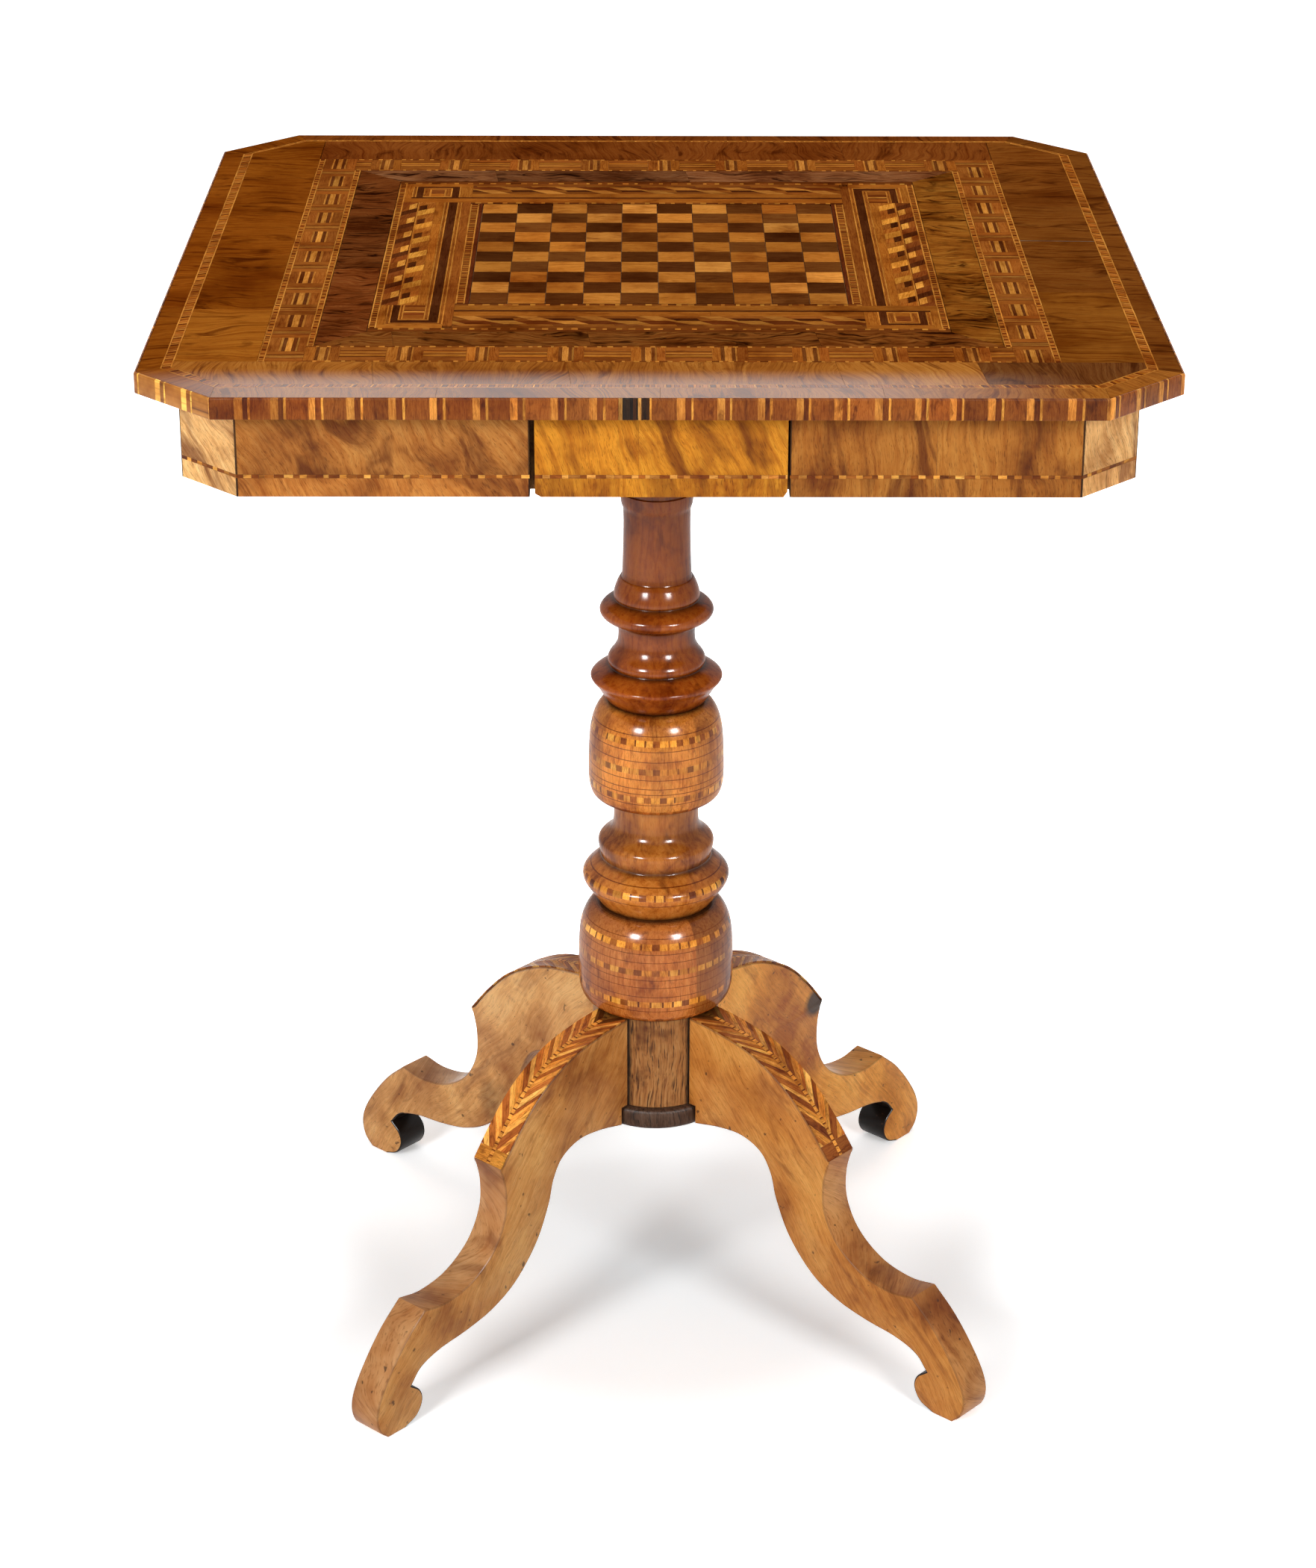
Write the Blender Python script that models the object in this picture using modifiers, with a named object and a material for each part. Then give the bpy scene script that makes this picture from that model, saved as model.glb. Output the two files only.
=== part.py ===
"""A square games table with canted corners, on a turned pillar and four scrolled legs.

The top is built up from planks under marquetry veneers. A shallow frieze hangs below it and
holds one small drawer. The pillar is stacked from turned pieces on dowels, and the legs are
housed in its hub with dovetailed tongues. Metres, +Z up, the front towards -Y.
"""
import bmesh
import bpy
from math import asin, cos, pi, radians, sin, sqrt

import numpy as np

# Overall sizes
table_height = 0.750
top_side = 0.603
top_corner_cut = 0.048
top_thickness = 0.0128
gap = 0.0003  # air left between two pieces that touch
weld_distance = 0.00002

# Veneers of the top, from the outside in
veneer_thickness = 0.0012
edge_veneer_thickness = 0.0012
border_width = 0.0686  # from the edge of the top to the basket band
basket_band_width = 0.0304
burr_frame_width = 0.0287
game_frame_width = 0.0578

# Planks under the veneers, joined along X
plank_joint_shares = (-0.224, 0.043)  # of the top's side, measured from the middle

# Frieze under the top
apron_inset = 0.0235  # how far the frieze stands in from the edge of the top
apron_corner_cut = 0.0355
apron_wall = 0.014
apron_height = 0.054
glue_block_leg = 0.016
glue_block_length = 0.090

# Drawer
drawer_width = 0.145
drawer_left_clearance = 0.0029
drawer_right_clearance = 0.0012
drawer_top_clearance = 0.0010
drawer_front_thickness = 0.012
drawer_side_thickness = 0.007
drawer_side_height = 0.043
drawer_bottom_thickness = 0.004
drawer_bottom_rise = 0.0025
drawer_edge_round = 0.0006
drawer_travel_share = 0.78  # of the drawer's depth
runner_guide_width = 0.012
runner_ledge_thickness = 0.0065
running_clearance = 0.0006
stop_width = 0.040
stop_depth = 0.012
stop_height = 0.020

# Block that carries the top on the pillar, and its screws
block_side = 0.140
block_thickness = 0.019
block_edge_round = 0.0025
tenon_radius = 0.015
tenon_length = 0.016
screw_spacing = 0.110
screw_length = 0.0255
screw_shank_radius = 0.0020
screw_head_radius = 0.0042
screw_head_depth = 0.0030

# Turned pillar, from the floor up
boss_bottom = 0.1395
boss_thickness = 0.015
boss_radius = 0.0475
boss_edge_round = 0.0050
hub_length = 0.068
hub_radius = 0.0435
lower_drum_length = 0.0725
lower_drum_radius = 0.0530
neck_length = 0.0778
neck_radius = 0.0498
upper_drum_length = 0.0695
upper_drum_radius = 0.0456
shaft_ring_radius = 0.0437
dowel_radius = 0.0110
dowel_depth = 0.028
turning_steps = 32

# Legs
leg_reach = 0.288
leg_thickness = 0.025
leg_veneer_thickness = 0.0012
tongue_length = 0.0105
tongue_neck_width = 0.0110
tongue_end_width = 0.0150
tongue_root = 0.0030  # how far the tongue runs on inside its leg
base_turn = radians(2.8)  # the pillar and legs sit turned a little under the top

# Outline of a leg: shares of its reach beyond the hub's flat, and of its height at the hub
hump_shares = [(0.0, 1.0), (0.108, 0.990), (0.231, 0.962), (0.354, 0.891), (0.444, 0.798), (0.513, 0.706)]
shin_shares = [(0.513, 0.706), (0.495, 0.620), (0.501, 0.526), (0.547, 0.436), (0.632, 0.373),
               (0.730, 0.353), (0.812, 0.366)]
toe_shares = [(0.812, 0.366), (0.880, 0.301), (0.938, 0.225), (0.983, 0.148), (1.0, 0.088), (0.990, 0.034),
              (0.960, 0.0)]
scroll_shares = [(0.895, 0.0), (0.850, 0.021), (0.828, 0.062), (0.836, 0.102), (0.868, 0.133)]
arch_shares = [(0.868, 0.133), (0.828, 0.178), (0.755, 0.203), (0.652, 0.215), (0.550, 0.239), (0.456, 0.292),
               (0.374, 0.387), (0.325, 0.494), (0.303, 0.575), (0.266, 0.634), (0.198, 0.663), (0.117, 0.658)]
arch_end_share = 0.635  # height of the underside where it meets the boss
tongue_foot_share = 0.05  # of the hub's length, left below the tongue
points_per_span = 4

# Turned outlines: shares of a piece's largest radius and of its length, top to bottom
shaft_shares = [
    (0.787, 1.000), (0.787, 0.984), (0.700, 0.966), (0.590, 0.942), (0.535, 0.900), (0.521, 0.800), (0.514, 0.552),
    (0.516, 0.546), (0.538, 0.540), (0.548, 0.525), (0.538, 0.506), (0.512, 0.493), (0.508, 0.478), (0.505, 0.440),
    (0.524, 0.331), (0.556, 0.316), (0.596, 0.304), (0.641, 0.284), (0.653, 0.269), (0.640, 0.262),
    (0.705, 0.257), (0.800, 0.250), (0.862, 0.237), (0.852, 0.225), (0.780, 0.214), (0.670, 0.206), (0.605, 0.199),
    (0.585, 0.182), (0.585, 0.164), (0.600, 0.148), (0.650, 0.132), (0.715, 0.118), (0.744, 0.107), (0.738, 0.097),
    (0.726, 0.091), (0.800, 0.086), (0.915, 0.076), (0.992, 0.066), (1.000, 0.058), (0.920, 0.042), (0.829, 0.019),
    (0.752, 0.000)]
upper_drum_shares = [(0.700, 1.000), (0.760, 0.985), (0.835, 0.950), (0.910, 0.865), (0.965, 0.735), (0.990, 0.570),
                     (1.000, 0.380), (1.000, 0.220), (0.985, 0.125), (0.950, 0.055), (0.885, 0.016), (0.800, 0.000)]
neck_shares = [(0.575, 1.000), (0.575, 0.900), (0.576, 0.800), (0.588, 0.735), (0.625, 0.685), (0.690, 0.645),
               (0.750, 0.615), (0.782, 0.585), (0.787, 0.550), (0.774, 0.500), (0.758, 0.455), (0.755, 0.425),
               (0.810, 0.398), (0.890, 0.352), (0.965, 0.305), (1.000, 0.262), (0.985, 0.205), (0.905, 0.125),
               (0.825, 0.055), (0.770, 0.000)]
lower_drum_shares = [(0.740, 1.000), (0.830, 0.965), (0.905, 0.895), (0.962, 0.790), (0.990, 0.660), (1.000, 0.480),
                     (1.000, 0.220), (0.983, 0.115), (0.940, 0.040), (0.865, 0.000)]

# Levels worked out from the sizes above
top_underside = table_height - top_thickness
plank_top = table_height - veneer_thickness - gap
apron_bottom = top_underside - apron_height
apron_side = top_side - 2 * apron_inset
apron_front = -apron_side / 2
apron_inner_front = apron_front + apron_wall
block_bottom = top_underside - gap - block_thickness
boss_top = boss_bottom + boss_thickness
hub_bottom = boss_top + gap
hub_top = hub_bottom + hub_length
lower_drum_bottom = hub_top + gap
lower_drum_top = lower_drum_bottom + lower_drum_length
neck_bottom = lower_drum_top + gap
neck_top = neck_bottom + neck_length
upper_drum_bottom = neck_top + gap
upper_drum_top = upper_drum_bottom + upper_drum_length
shaft_bottom = upper_drum_top + gap
shaft_top = block_bottom - gap
hub_flat = sqrt(hub_radius**2 - (leg_thickness / 2) ** 2)
overrun = top_thickness  # how far a cutter runs past the face it cuts

for existing in list(bpy.data.objects):
    bpy.data.objects.remove(existing, do_unlink=True)

table = bpy.data.collections.new("games_table")
cutters = bpy.data.collections.new("cutters")
for group in (table, cutters):
    bpy.context.scene.collection.children.link(group)


def wood(name, colour, roughness=0.35, metallic=0.0):
    """A Principled material; the colour is linear red, green and blue."""
    material = bpy.data.materials.new(name)
    material.use_nodes = True
    shader = material.node_tree.nodes["Principled BSDF"]
    shader.inputs["Base Color"].default_value = (*colour, 1.0)
    shader.inputs["Roughness"].default_value = roughness
    shader.inputs["Metallic"].default_value = metallic
    material.diffuse_color = (*colour, 1.0)
    return material


walnut = wood("walnut_veneer", (0.224, 0.094, 0.030), 0.28)
crossband = wood("crossbanded_walnut", (0.262, 0.115, 0.038), 0.26)
basket = wood("basket_marquetry", (0.384, 0.180, 0.054), 0.28)
burr = wood("burr_walnut", (0.118, 0.050, 0.018), 0.26)
game = wood("game_marquetry", (0.300, 0.136, 0.042), 0.28)
chess = wood("chess_marquetry", (0.290, 0.140, 0.045), 0.28)
stripes = wood("striped_edge_veneer", (0.262, 0.107, 0.036), 0.30)
frieze = wood("frieze_walnut", (0.402, 0.192, 0.058), 0.32)
carcase = wood("pine_carcase", (0.352, 0.216, 0.105), 0.62)
turned_wood = wood("turned_fruitwood", (0.305, 0.133, 0.041), 0.22)
drum_wood = wood("inlaid_drum_walnut", (0.341, 0.144, 0.043), 0.22)
leg_wood = wood("solid_walnut", (0.292, 0.147, 0.052), 0.38)
herringbone = wood("herringbone_marquetry", (0.402, 0.184, 0.056), 0.24)
lining = wood("drawer_lining", (0.402, 0.262, 0.133), 0.60)
iron = wood("iron_screw", (0.105, 0.098, 0.092), 0.45, 0.9)


def box(name, low, high, material, rounding=0.0, group=table):
    """A block between two corners, with its origin at its middle."""
    mesh = bpy.data.meshes.new(name)
    cube = bmesh.new()
    bmesh.ops.create_cube(cube, size=1.0)
    size = [high[axis] - low[axis] for axis in range(3)]
    bmesh.ops.scale(cube, vec=size, verts=cube.verts)
    cube.to_mesh(mesh)
    cube.free()
    mesh.materials.append(material)
    piece = bpy.data.objects.new(name, mesh)
    piece.location = [(high[axis] + low[axis]) / 2 for axis in range(3)]
    group.objects.link(piece)
    if rounding:
        bevel = piece.modifiers.new("rounded_edges", "BEVEL")
        bevel.width = rounding
        bevel.segments = 2
    return piece


def sheet(name, outlines, bottom, top, material, group=table):
    """A flat outline, with holes where it has more than one loop, standing from bottom to top."""
    curve = bpy.data.curves.new(name, "CURVE")
    curve.dimensions = "2D"
    curve.fill_mode = "BOTH"
    curve.extrude = (top - bottom) / 2
    for outline in outlines:
        spline = curve.splines.new("POLY")
        spline.points.add(len(outline) - 1)
        for point, (x, y) in zip(spline.points, outline):
            point.co = (x, y, 0.0, 1.0)
        spline.use_cyclic_u = True
    curve.materials.append(material)
    piece = bpy.data.objects.new(name, curve)
    piece.location.z = (top + bottom) / 2
    group.objects.link(piece)
    return piece


def turned(name, profile, material, group=table, steps=turning_steps):
    """A profile of (radius, height) points, outer side running downwards, spun round Z."""
    mesh = bpy.data.meshes.new(name)
    points = [(radius, 0.0, height) for radius, height in profile]
    mesh.from_pydata(points, [(i, i + 1) for i in range(len(points) - 1)], [])
    mesh.materials.append(material)
    piece = bpy.data.objects.new(name, mesh)
    group.objects.link(piece)
    screw = piece.modifiers.new("turned", "SCREW")
    screw.axis = "Z"
    screw.steps = steps
    screw.render_steps = steps
    screw.use_merge_vertices = True
    screw.merge_threshold = weld_distance
    screw.use_smooth_shade = True
    return piece


def as_mesh(piece):
    """The same piece as a welded mesh, so that it can be cut or joined."""
    bpy.context.view_layer.update()
    evaluated = piece.evaluated_get(bpy.context.evaluated_depsgraph_get())
    mesh = bpy.data.meshes.new_from_object(evaluated)
    body = bmesh.new()
    body.from_mesh(mesh)
    bmesh.ops.remove_doubles(body, verts=body.verts, dist=weld_distance)
    body.to_mesh(mesh)
    body.free()
    name = piece.name
    solid = bpy.data.objects.new(name, mesh)
    solid.matrix_world = piece.matrix_world.copy()
    for group in piece.users_collection:
        group.objects.link(solid)
    bpy.data.objects.remove(piece, do_unlink=True)
    solid.name = name
    mesh.name = name
    return solid


def hide_cutter(piece):
    piece.hide_render = True
    piece.display_type = "WIRE"
    return piece


def combine(piece, tool, operation):
    """Cuts a hole (DIFFERENCE) or adds a shape (UNION) with a hidden helper."""
    modifier = piece.modifiers.new(tool.name, "BOOLEAN")
    modifier.operation = operation
    modifier.solver = "EXACT"
    modifier.object = hide_cutter(tool)


def octagon(side, cut):
    """A square with its corners cut, starting at the left end of the front edge."""
    half = side / 2
    inner = half - cut
    return [(-inner, -half), (inner, -half), (half, -inner), (half, inner),
            (inner, half), (-inner, half), (-half, inner), (-half, -inner)]


def inset_octagon(side, cut, inset):
    """The octagon with every edge moved in by the same amount."""
    return octagon(side - 2 * inset, cut - (2 - sqrt(2)) * inset)


def square(half):
    return [(-half, -half), (half, -half), (half, half), (-half, half)]


def clip(outline, axis, limit, keep_above):
    """The part of an outline on one side of a line across one axis."""
    sign = 1 if keep_above else -1
    kept = []
    for start, end in zip(outline, outline[1:] + outline[:1]):
        start_in = sign * (start[axis] - limit) >= 0
        end_in = sign * (end[axis] - limit) >= 0
        if start_in:
            kept.append(start)
        if start_in != end_in:
            along = (limit - start[axis]) / (end[axis] - start[axis])
            kept.append(tuple(start[i] + along * (end[i] - start[i]) for i in range(2)))
    return kept


def strip(outline, axis, low, high):
    return clip(clip(outline, axis, low, True), axis, high, False)


def ring_piece(outer, inner, edge):
    """One mitred side between two octagons, drawn in by half a gap at each end."""
    following = (edge + 1) % 8
    a, b = np.array(outer[edge]), np.array(outer[following])
    c, d = np.array(inner[following]), np.array(inner[edge])
    along = (b - a) / np.linalg.norm(b - a) * gap / 2
    return [tuple(point) for point in (a + along, b - along, c - along, d + along)]


def smooth_run(points):
    """A Catmull-Rom curve through the points, with its ends kept."""
    points = np.array(points)
    padded = np.vstack([2 * points[0] - points[1], points, 2 * points[-1] - points[-2]])
    run = []
    for p0, p1, p2, p3 in zip(padded, padded[1:], padded[2:], padded[3:]):
        for step in range(points_per_span):
            t = step / points_per_span
            run.append(0.5 * (2 * p1 + (p2 - p0) * t + (2 * p0 - 5 * p1 + 4 * p2 - p3) * t**2
                              + (3 * p1 - p0 - 3 * p2 + p3) * t**3))
    return run + [points[-1]]


def lowered(run, distance):
    """A run of points moved square to itself, to its right-hand side."""
    run = np.array(run)
    along = np.gradient(run, axis=0)
    along /= np.linalg.norm(along, axis=1)[:, None]
    return run + distance * np.column_stack([along[:, 1], -along[:, 0]])


# Top: planks, and the veneers laid on them
def make_top():
    inside = inset_octagon(top_side, top_corner_cut, edge_veneer_thickness + gap)
    joints = [share * top_side for share in plank_joint_shares]
    limits = [-top_side, *joints, top_side]
    planks = []
    for name, low, high in zip(("front", "middle", "back"), limits, limits[1:]):
        outline = strip(inside, 1, low + gap / 2, high - gap / 2)
        planks.append(as_mesh(sheet("top_plank_" + name, [outline], top_underside, plank_top, carcase)))

    def veneer(name, outlines, material):
        sheet(name, outlines, plank_top + gap, table_height, material)

    basket_half = top_side / 2 - border_width
    middle = strip(inside, 0, -basket_half, basket_half)
    veneer("border_veneer_left", [clip(inside, 0, -basket_half - gap, False)], walnut)
    veneer("border_veneer_right", [clip(inside, 0, basket_half + gap, True)], walnut)
    veneer("border_veneer_front", [clip(middle, 1, -basket_half - gap, False)], crossband)
    veneer("border_veneer_back", [clip(middle, 1, basket_half + gap, True)], crossband)
    basket_inner = basket_half - basket_band_width
    burr_outer = basket_inner - gap
    burr_inner = burr_outer - burr_frame_width
    board_half = burr_inner - gap - game_frame_width - gap
    veneer("basket_band", [square(basket_half), square(basket_inner)], basket)
    veneer("burr_frame", [square(burr_outer), square(burr_inner)], burr)
    veneer("game_frame", [square(burr_inner - gap), square(board_half + gap)], game)
    veneer("chessboard", [square(board_half)], chess)

    outer = octagon(top_side, top_corner_cut)
    inner = inset_octagon(top_side, top_corner_cut, edge_veneer_thickness)
    sides = ("front", "front_right", "right", "back_right", "back", "back_left", "left", "front_left")
    for edge, name in enumerate(sides):
        sheet("edge_band_" + name, [ring_piece(outer, inner, edge)], top_underside, table_height, stripes)
    return planks


# Frieze: walls with canted corners, open at the front for the drawer
def make_apron():
    outer = octagon(apron_side, apron_corner_cut)
    inner = inset_octagon(apron_side, apron_corner_cut, apron_wall)
    top = top_underside - gap
    opening_half = (drawer_width + drawer_left_clearance + drawer_right_clearance) / 2
    front = ring_piece(outer, inner, 0)
    sheet("apron_front_left", [clip(front, 0, -opening_half, False)], apron_bottom, top, frieze)
    sheet("apron_front_right", [clip(front, 0, opening_half, True)], apron_bottom, top, frieze)
    walls = ("", "corner_front_right", "right", "corner_back_right", "back", "corner_back_left", "left",
             "corner_front_left")
    for edge, name in enumerate(walls[1:], 1):
        sheet("apron_" + name, [ring_piece(outer, inner, edge)], apron_bottom, top, frieze)
    wall_face = apron_side / 2 - apron_wall - gap
    for name, side in (("left", -1), ("right", 1)):
        section = [(side * wall_face, top), (side * (wall_face - glue_block_leg), top),
                   (side * wall_face, top - glue_block_leg)]
        block = sheet("glue_block_" + name, [section], 0.0, glue_block_length, carcase)
        block.rotation_euler.x = pi / 2
        block.location = (0.0, glue_block_length / 2, 0.0)


# Drawer, its runners and its stop
def make_drawer():
    opening_half = (drawer_width + drawer_left_clearance + drawer_right_clearance) / 2
    left = -opening_half + drawer_left_clearance
    right = opening_half - drawer_right_clearance
    back = -block_side / 2 - stop_depth - 2 * gap
    depth = back - apron_front
    front_back = apron_front + drawer_front_thickness
    ledge_top = apron_bottom + runner_ledge_thickness
    side_bottom = ledge_top + gap
    side_top = side_bottom + drawer_side_height
    inner_left = left + drawer_side_thickness + gap
    inner_right = right - drawer_side_thickness - gap
    inner_back = back - drawer_side_thickness
    travel = depth * drawer_travel_share
    slide = bpy.data.objects.new("drawer_slide", None)
    slide.location = ((left + right) / 2, apron_front, (side_bottom + side_top) / 2)
    limit = slide.constraints.new("LIMIT_LOCATION")
    limit.use_min_y = True
    limit.use_max_y = True
    limit.min_y = apron_front - travel
    limit.max_y = apron_front
    table.objects.link(slide)
    front = box("drawer_front", (left, apron_front, apron_bottom),
                (right, front_back, top_underside - drawer_top_clearance), frieze, drawer_edge_round)
    pieces = [front]
    side_front = front_back + gap
    pieces.append(box("drawer_left_side", (left, side_front, side_bottom),
                      (left + drawer_side_thickness, back, side_top), lining))
    pieces.append(box("drawer_right_side", (right - drawer_side_thickness, side_front, side_bottom),
                      (right, back, side_top), lining))
    pieces.append(box("drawer_back", (inner_left, inner_back, side_bottom), (inner_right, back, side_top), lining))
    floor = side_bottom + drawer_bottom_rise
    pieces.append(box("drawer_bottom", (inner_left, side_front, floor),
                      (inner_right, inner_back - gap, floor + drawer_bottom_thickness), lining))
    for piece in pieces:
        piece.location -= slide.location
        piece.parent = slide

    runner_front = apron_inner_front + gap
    runner_top = top_underside - gap
    for name, face, side in (("left", left, -1), ("right", right, 1)):
        guide = face + side * running_clearance
        far = guide + side * runner_guide_width
        lip = face - side * drawer_side_thickness
        section = [(far, runner_top), (guide, runner_top), (guide, ledge_top), (lip, ledge_top),
                   (lip, apron_bottom), (far, apron_bottom)]
        runner = sheet("drawer_runner_" + name, [section], 0.0, back - runner_front, carcase)
        runner.rotation_euler.x = pi / 2
        runner.location = (0.0, (back + runner_front) / 2, 0.0)
    middle = (left + right) / 2
    box("drawer_stop", (middle - stop_width / 2, back + gap, runner_top - stop_height),
        (middle + stop_width / 2, back + gap + stop_depth, runner_top), carcase)


# Block under the top, with the screws that hold it
def make_block(planks):
    half = block_side / 2
    block = box("column_block", (-half, -half, block_bottom), (half, half, top_underside - gap), carcase,
                block_edge_round)
    mortise_depth = tenon_length + gap
    mortise = turned("block_mortise", [(0.0, block_bottom + mortise_depth),
                                       (tenon_radius + gap, block_bottom + mortise_depth),
                                       (tenon_radius + gap, block_bottom - overrun),
                                       (0.0, block_bottom - overrun)], carcase, cutters)
    combine(block, mortise, "DIFFERENCE")
    tip = block_bottom + screw_length
    cone = block_bottom + screw_head_depth
    reach = screw_spacing / 2
    for name, x, y in (("front_left", -1, -1), ("front_right", 1, -1), ("back_left", -1, 1), ("back_right", 1, 1)):
        screw = turned("block_screw_" + name, [(0.0, tip), (screw_shank_radius, tip),
                                               (screw_shank_radius, cone), (screw_head_radius, block_bottom),
                                               (0.0, block_bottom)], iron, steps=turning_steps // 2)
        hole = turned("screw_hole_" + name, [(0.0, tip + gap), (screw_shank_radius + gap, tip + gap),
                                             (screw_shank_radius + gap, cone + gap),
                                             (screw_head_radius + gap, block_bottom),
                                             (screw_head_radius + gap, block_bottom - overrun),
                                             (0.0, block_bottom - overrun)], iron, cutters, turning_steps // 2)
        for piece in (screw, hole):
            piece.location = (x * reach, y * reach, 0.0)
        combine(block, hole, "DIFFERENCE")
        combine(planks[1] if y < 0 else planks[2], hole, "DIFFERENCE")


# Pillar: turned pieces threaded on dowels
def scaled(shares, radius, bottom, length):
    return [(radius * r, bottom + length * h) for r, h in shares]


def make_pillar():
    bore = dowel_radius + gap
    depth = dowel_depth + gap
    # The pillar turns with the base, so every piece carries the same small angle
    pieces = []
    shaft = scaled(shaft_shares, shaft_ring_radius, shaft_bottom, shaft_top - shaft_bottom)
    tenon = [(0.0, block_bottom + tenon_length), (tenon_radius, block_bottom + tenon_length),
             (tenon_radius, shaft_top)]
    blind = [(bore, shaft_bottom), (bore, shaft_bottom + depth), (0.0, shaft_bottom + depth)]
    pieces.append(turned("column_shaft", tenon + shaft + blind, turned_wood))
    for name, shares, radius, bottom, top in (
            ("upper_drum", upper_drum_shares, upper_drum_radius, upper_drum_bottom, upper_drum_top),
            ("lower_drum", lower_drum_shares, lower_drum_radius, lower_drum_bottom, lower_drum_top)):
        outline = scaled(shares, radius, bottom, top - bottom)
        pieces.append(turned(name, [(bore, top), *outline, (bore, bottom), (bore, top)], drum_wood))
    neck = scaled(neck_shares, neck_radius, neck_bottom, neck_length)
    pieces.append(turned("column_neck", [(0.0, neck_top - depth), (bore, neck_top - depth), (bore, neck_top),
                                         *neck, (bore, neck_bottom), (bore, neck_bottom + depth),
                                         (0.0, neck_bottom + depth)], turned_wood))
    for name, low, high in (("dowel_upper", neck_top - dowel_depth, shaft_bottom + dowel_depth),
                            ("dowel_lower", hub_top - dowel_depth, neck_bottom + dowel_depth)):
        pieces.append(turned(name, [(0.0, high), (dowel_radius, high), (dowel_radius, low), (0.0, low)], carcase))
    shoulder = boss_radius - boss_edge_round
    pieces.append(turned("hub_boss", [(0.0, boss_top), (shoulder, boss_top),
                                      *[(shoulder + boss_edge_round * sin(turn), boss_top
                                         - boss_edge_round * (1 - cos(turn)))
                                        for turn in (pi / 6, pi / 3, pi / 2)],
                                      (boss_radius, boss_bottom + boss_edge_round / 2),
                                      (boss_radius - boss_edge_round / 2, boss_bottom), (0.0, boss_bottom)],
                         turned_wood))

    # The hub: arcs between four flats, each with a dovetailed housing for a leg
    outline = []
    half = leg_thickness / 2
    corner = asin(half / hub_radius)
    housing = tongue_length + gap
    for quarter in range(4):
        angle = quarter * pi / 2
        across = [(hub_flat, -tongue_neck_width / 2 - gap), (hub_flat - housing, -tongue_end_width / 2 - gap),
                  (hub_flat - housing, tongue_end_width / 2 + gap), (hub_flat, tongue_neck_width / 2 + gap)]
        outline += [(hub_radius * cos(angle - corner), hub_radius * sin(angle - corner))]
        outline += [(cos(angle) * x - sin(angle) * y, sin(angle) * x + cos(angle) * y) for x, y in across]
        arc = turning_steps // 4 - 2
        for step in range(arc):
            turn = angle + corner + (pi / 2 - 2 * corner) * step / arc
            outline.append((hub_radius * cos(turn), hub_radius * sin(turn)))
    hub = as_mesh(sheet("hub", [outline], hub_bottom, hub_top, turned_wood))
    hub.rotation_euler.z = pi / 4
    pieces.append(hub)
    socket = turned("hub_socket", [(0.0, hub_top + overrun), (bore, hub_top + overrun), (bore, hub_top - depth),
                                   (0.0, hub_top - depth)], turned_wood, cutters)
    combine(hub, socket, "DIFFERENCE")
    for piece in pieces:
        piece.rotation_euler.z += base_turn


# Legs: one scrolled outline, a dovetailed tongue and a strip of veneer over the hump
def make_legs():
    root = hub_flat + gap
    run = leg_reach - root
    rise = hub_top

    def placed(shares):
        return [(root + run * r, rise * h) for r, h in shares]

    hump = smooth_run(placed(hump_shares))
    seat = lowered(hump, leg_veneer_thickness + gap)
    seat[0][0] = root
    shin = smooth_run(placed(shin_shares))
    toe = smooth_run(placed(toe_shares))
    scroll = smooth_run(placed(scroll_shares))
    step = boss_radius + gap
    arch = smooth_run(placed(arch_shares) + [(step, rise * arch_end_share)])
    inner_end = [(step, hub_bottom), (root, hub_bottom)]
    outline = [*seat, *shin, *toe[1:], *scroll, *arch[1:], *inner_end]
    skin = lowered(hump, leg_veneer_thickness)
    strip_outline = [*hump, *skin[::-1]]
    strip_outline[-1] = (root, skin[0][1])
    half = leg_thickness / 2
    for name, quarter in (("front_right", -1), ("back_right", 1), ("back_left", 3), ("front_left", 5)):
        angle = quarter * pi / 4 + base_turn
        leg = as_mesh(sheet("leg_" + name, [outline], 0.0, leg_thickness, leg_wood))
        leg.rotation_euler = (pi / 2, 0.0, angle)
        leg.location = (0.0, 0.0, 0.0)
        tongue_bottom = hub_bottom + hub_length * tongue_foot_share
        tongue_top = seat[0][1] - hub_length * tongue_foot_share
        end = hub_flat - tongue_length
        slope = (tongue_end_width - tongue_neck_width) / (2 * tongue_length)
        inside = root + tongue_root
        root_half = tongue_neck_width / 2 - slope * gap
        tongue = as_mesh(sheet("tongue_" + name, [[(end, -tongue_end_width / 2), (root, -root_half),
                                                   (inside, -root_half), (inside, root_half), (root, root_half),
                                                   (end, tongue_end_width / 2)]],
                               tongue_bottom, tongue_top, leg_wood, cutters))
        tongue.rotation_euler.z = angle
        combine(leg, tongue, "UNION")
        cover = sheet("leg_veneer_" + name, [strip_outline], 0.0, 2 * half, herringbone)
        cover.rotation_euler = (pi / 2, 0.0, angle)
        cover.location = (0.0, 0.0, 0.0)


top_planks = make_top()
make_apron()
make_drawer()
make_block(top_planks)
make_pillar()
make_legs()
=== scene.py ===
from math import cos, pi, radians, sin, sqrt

import bpy
import numpy as np
from mathutils import Matrix, Vector


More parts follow.
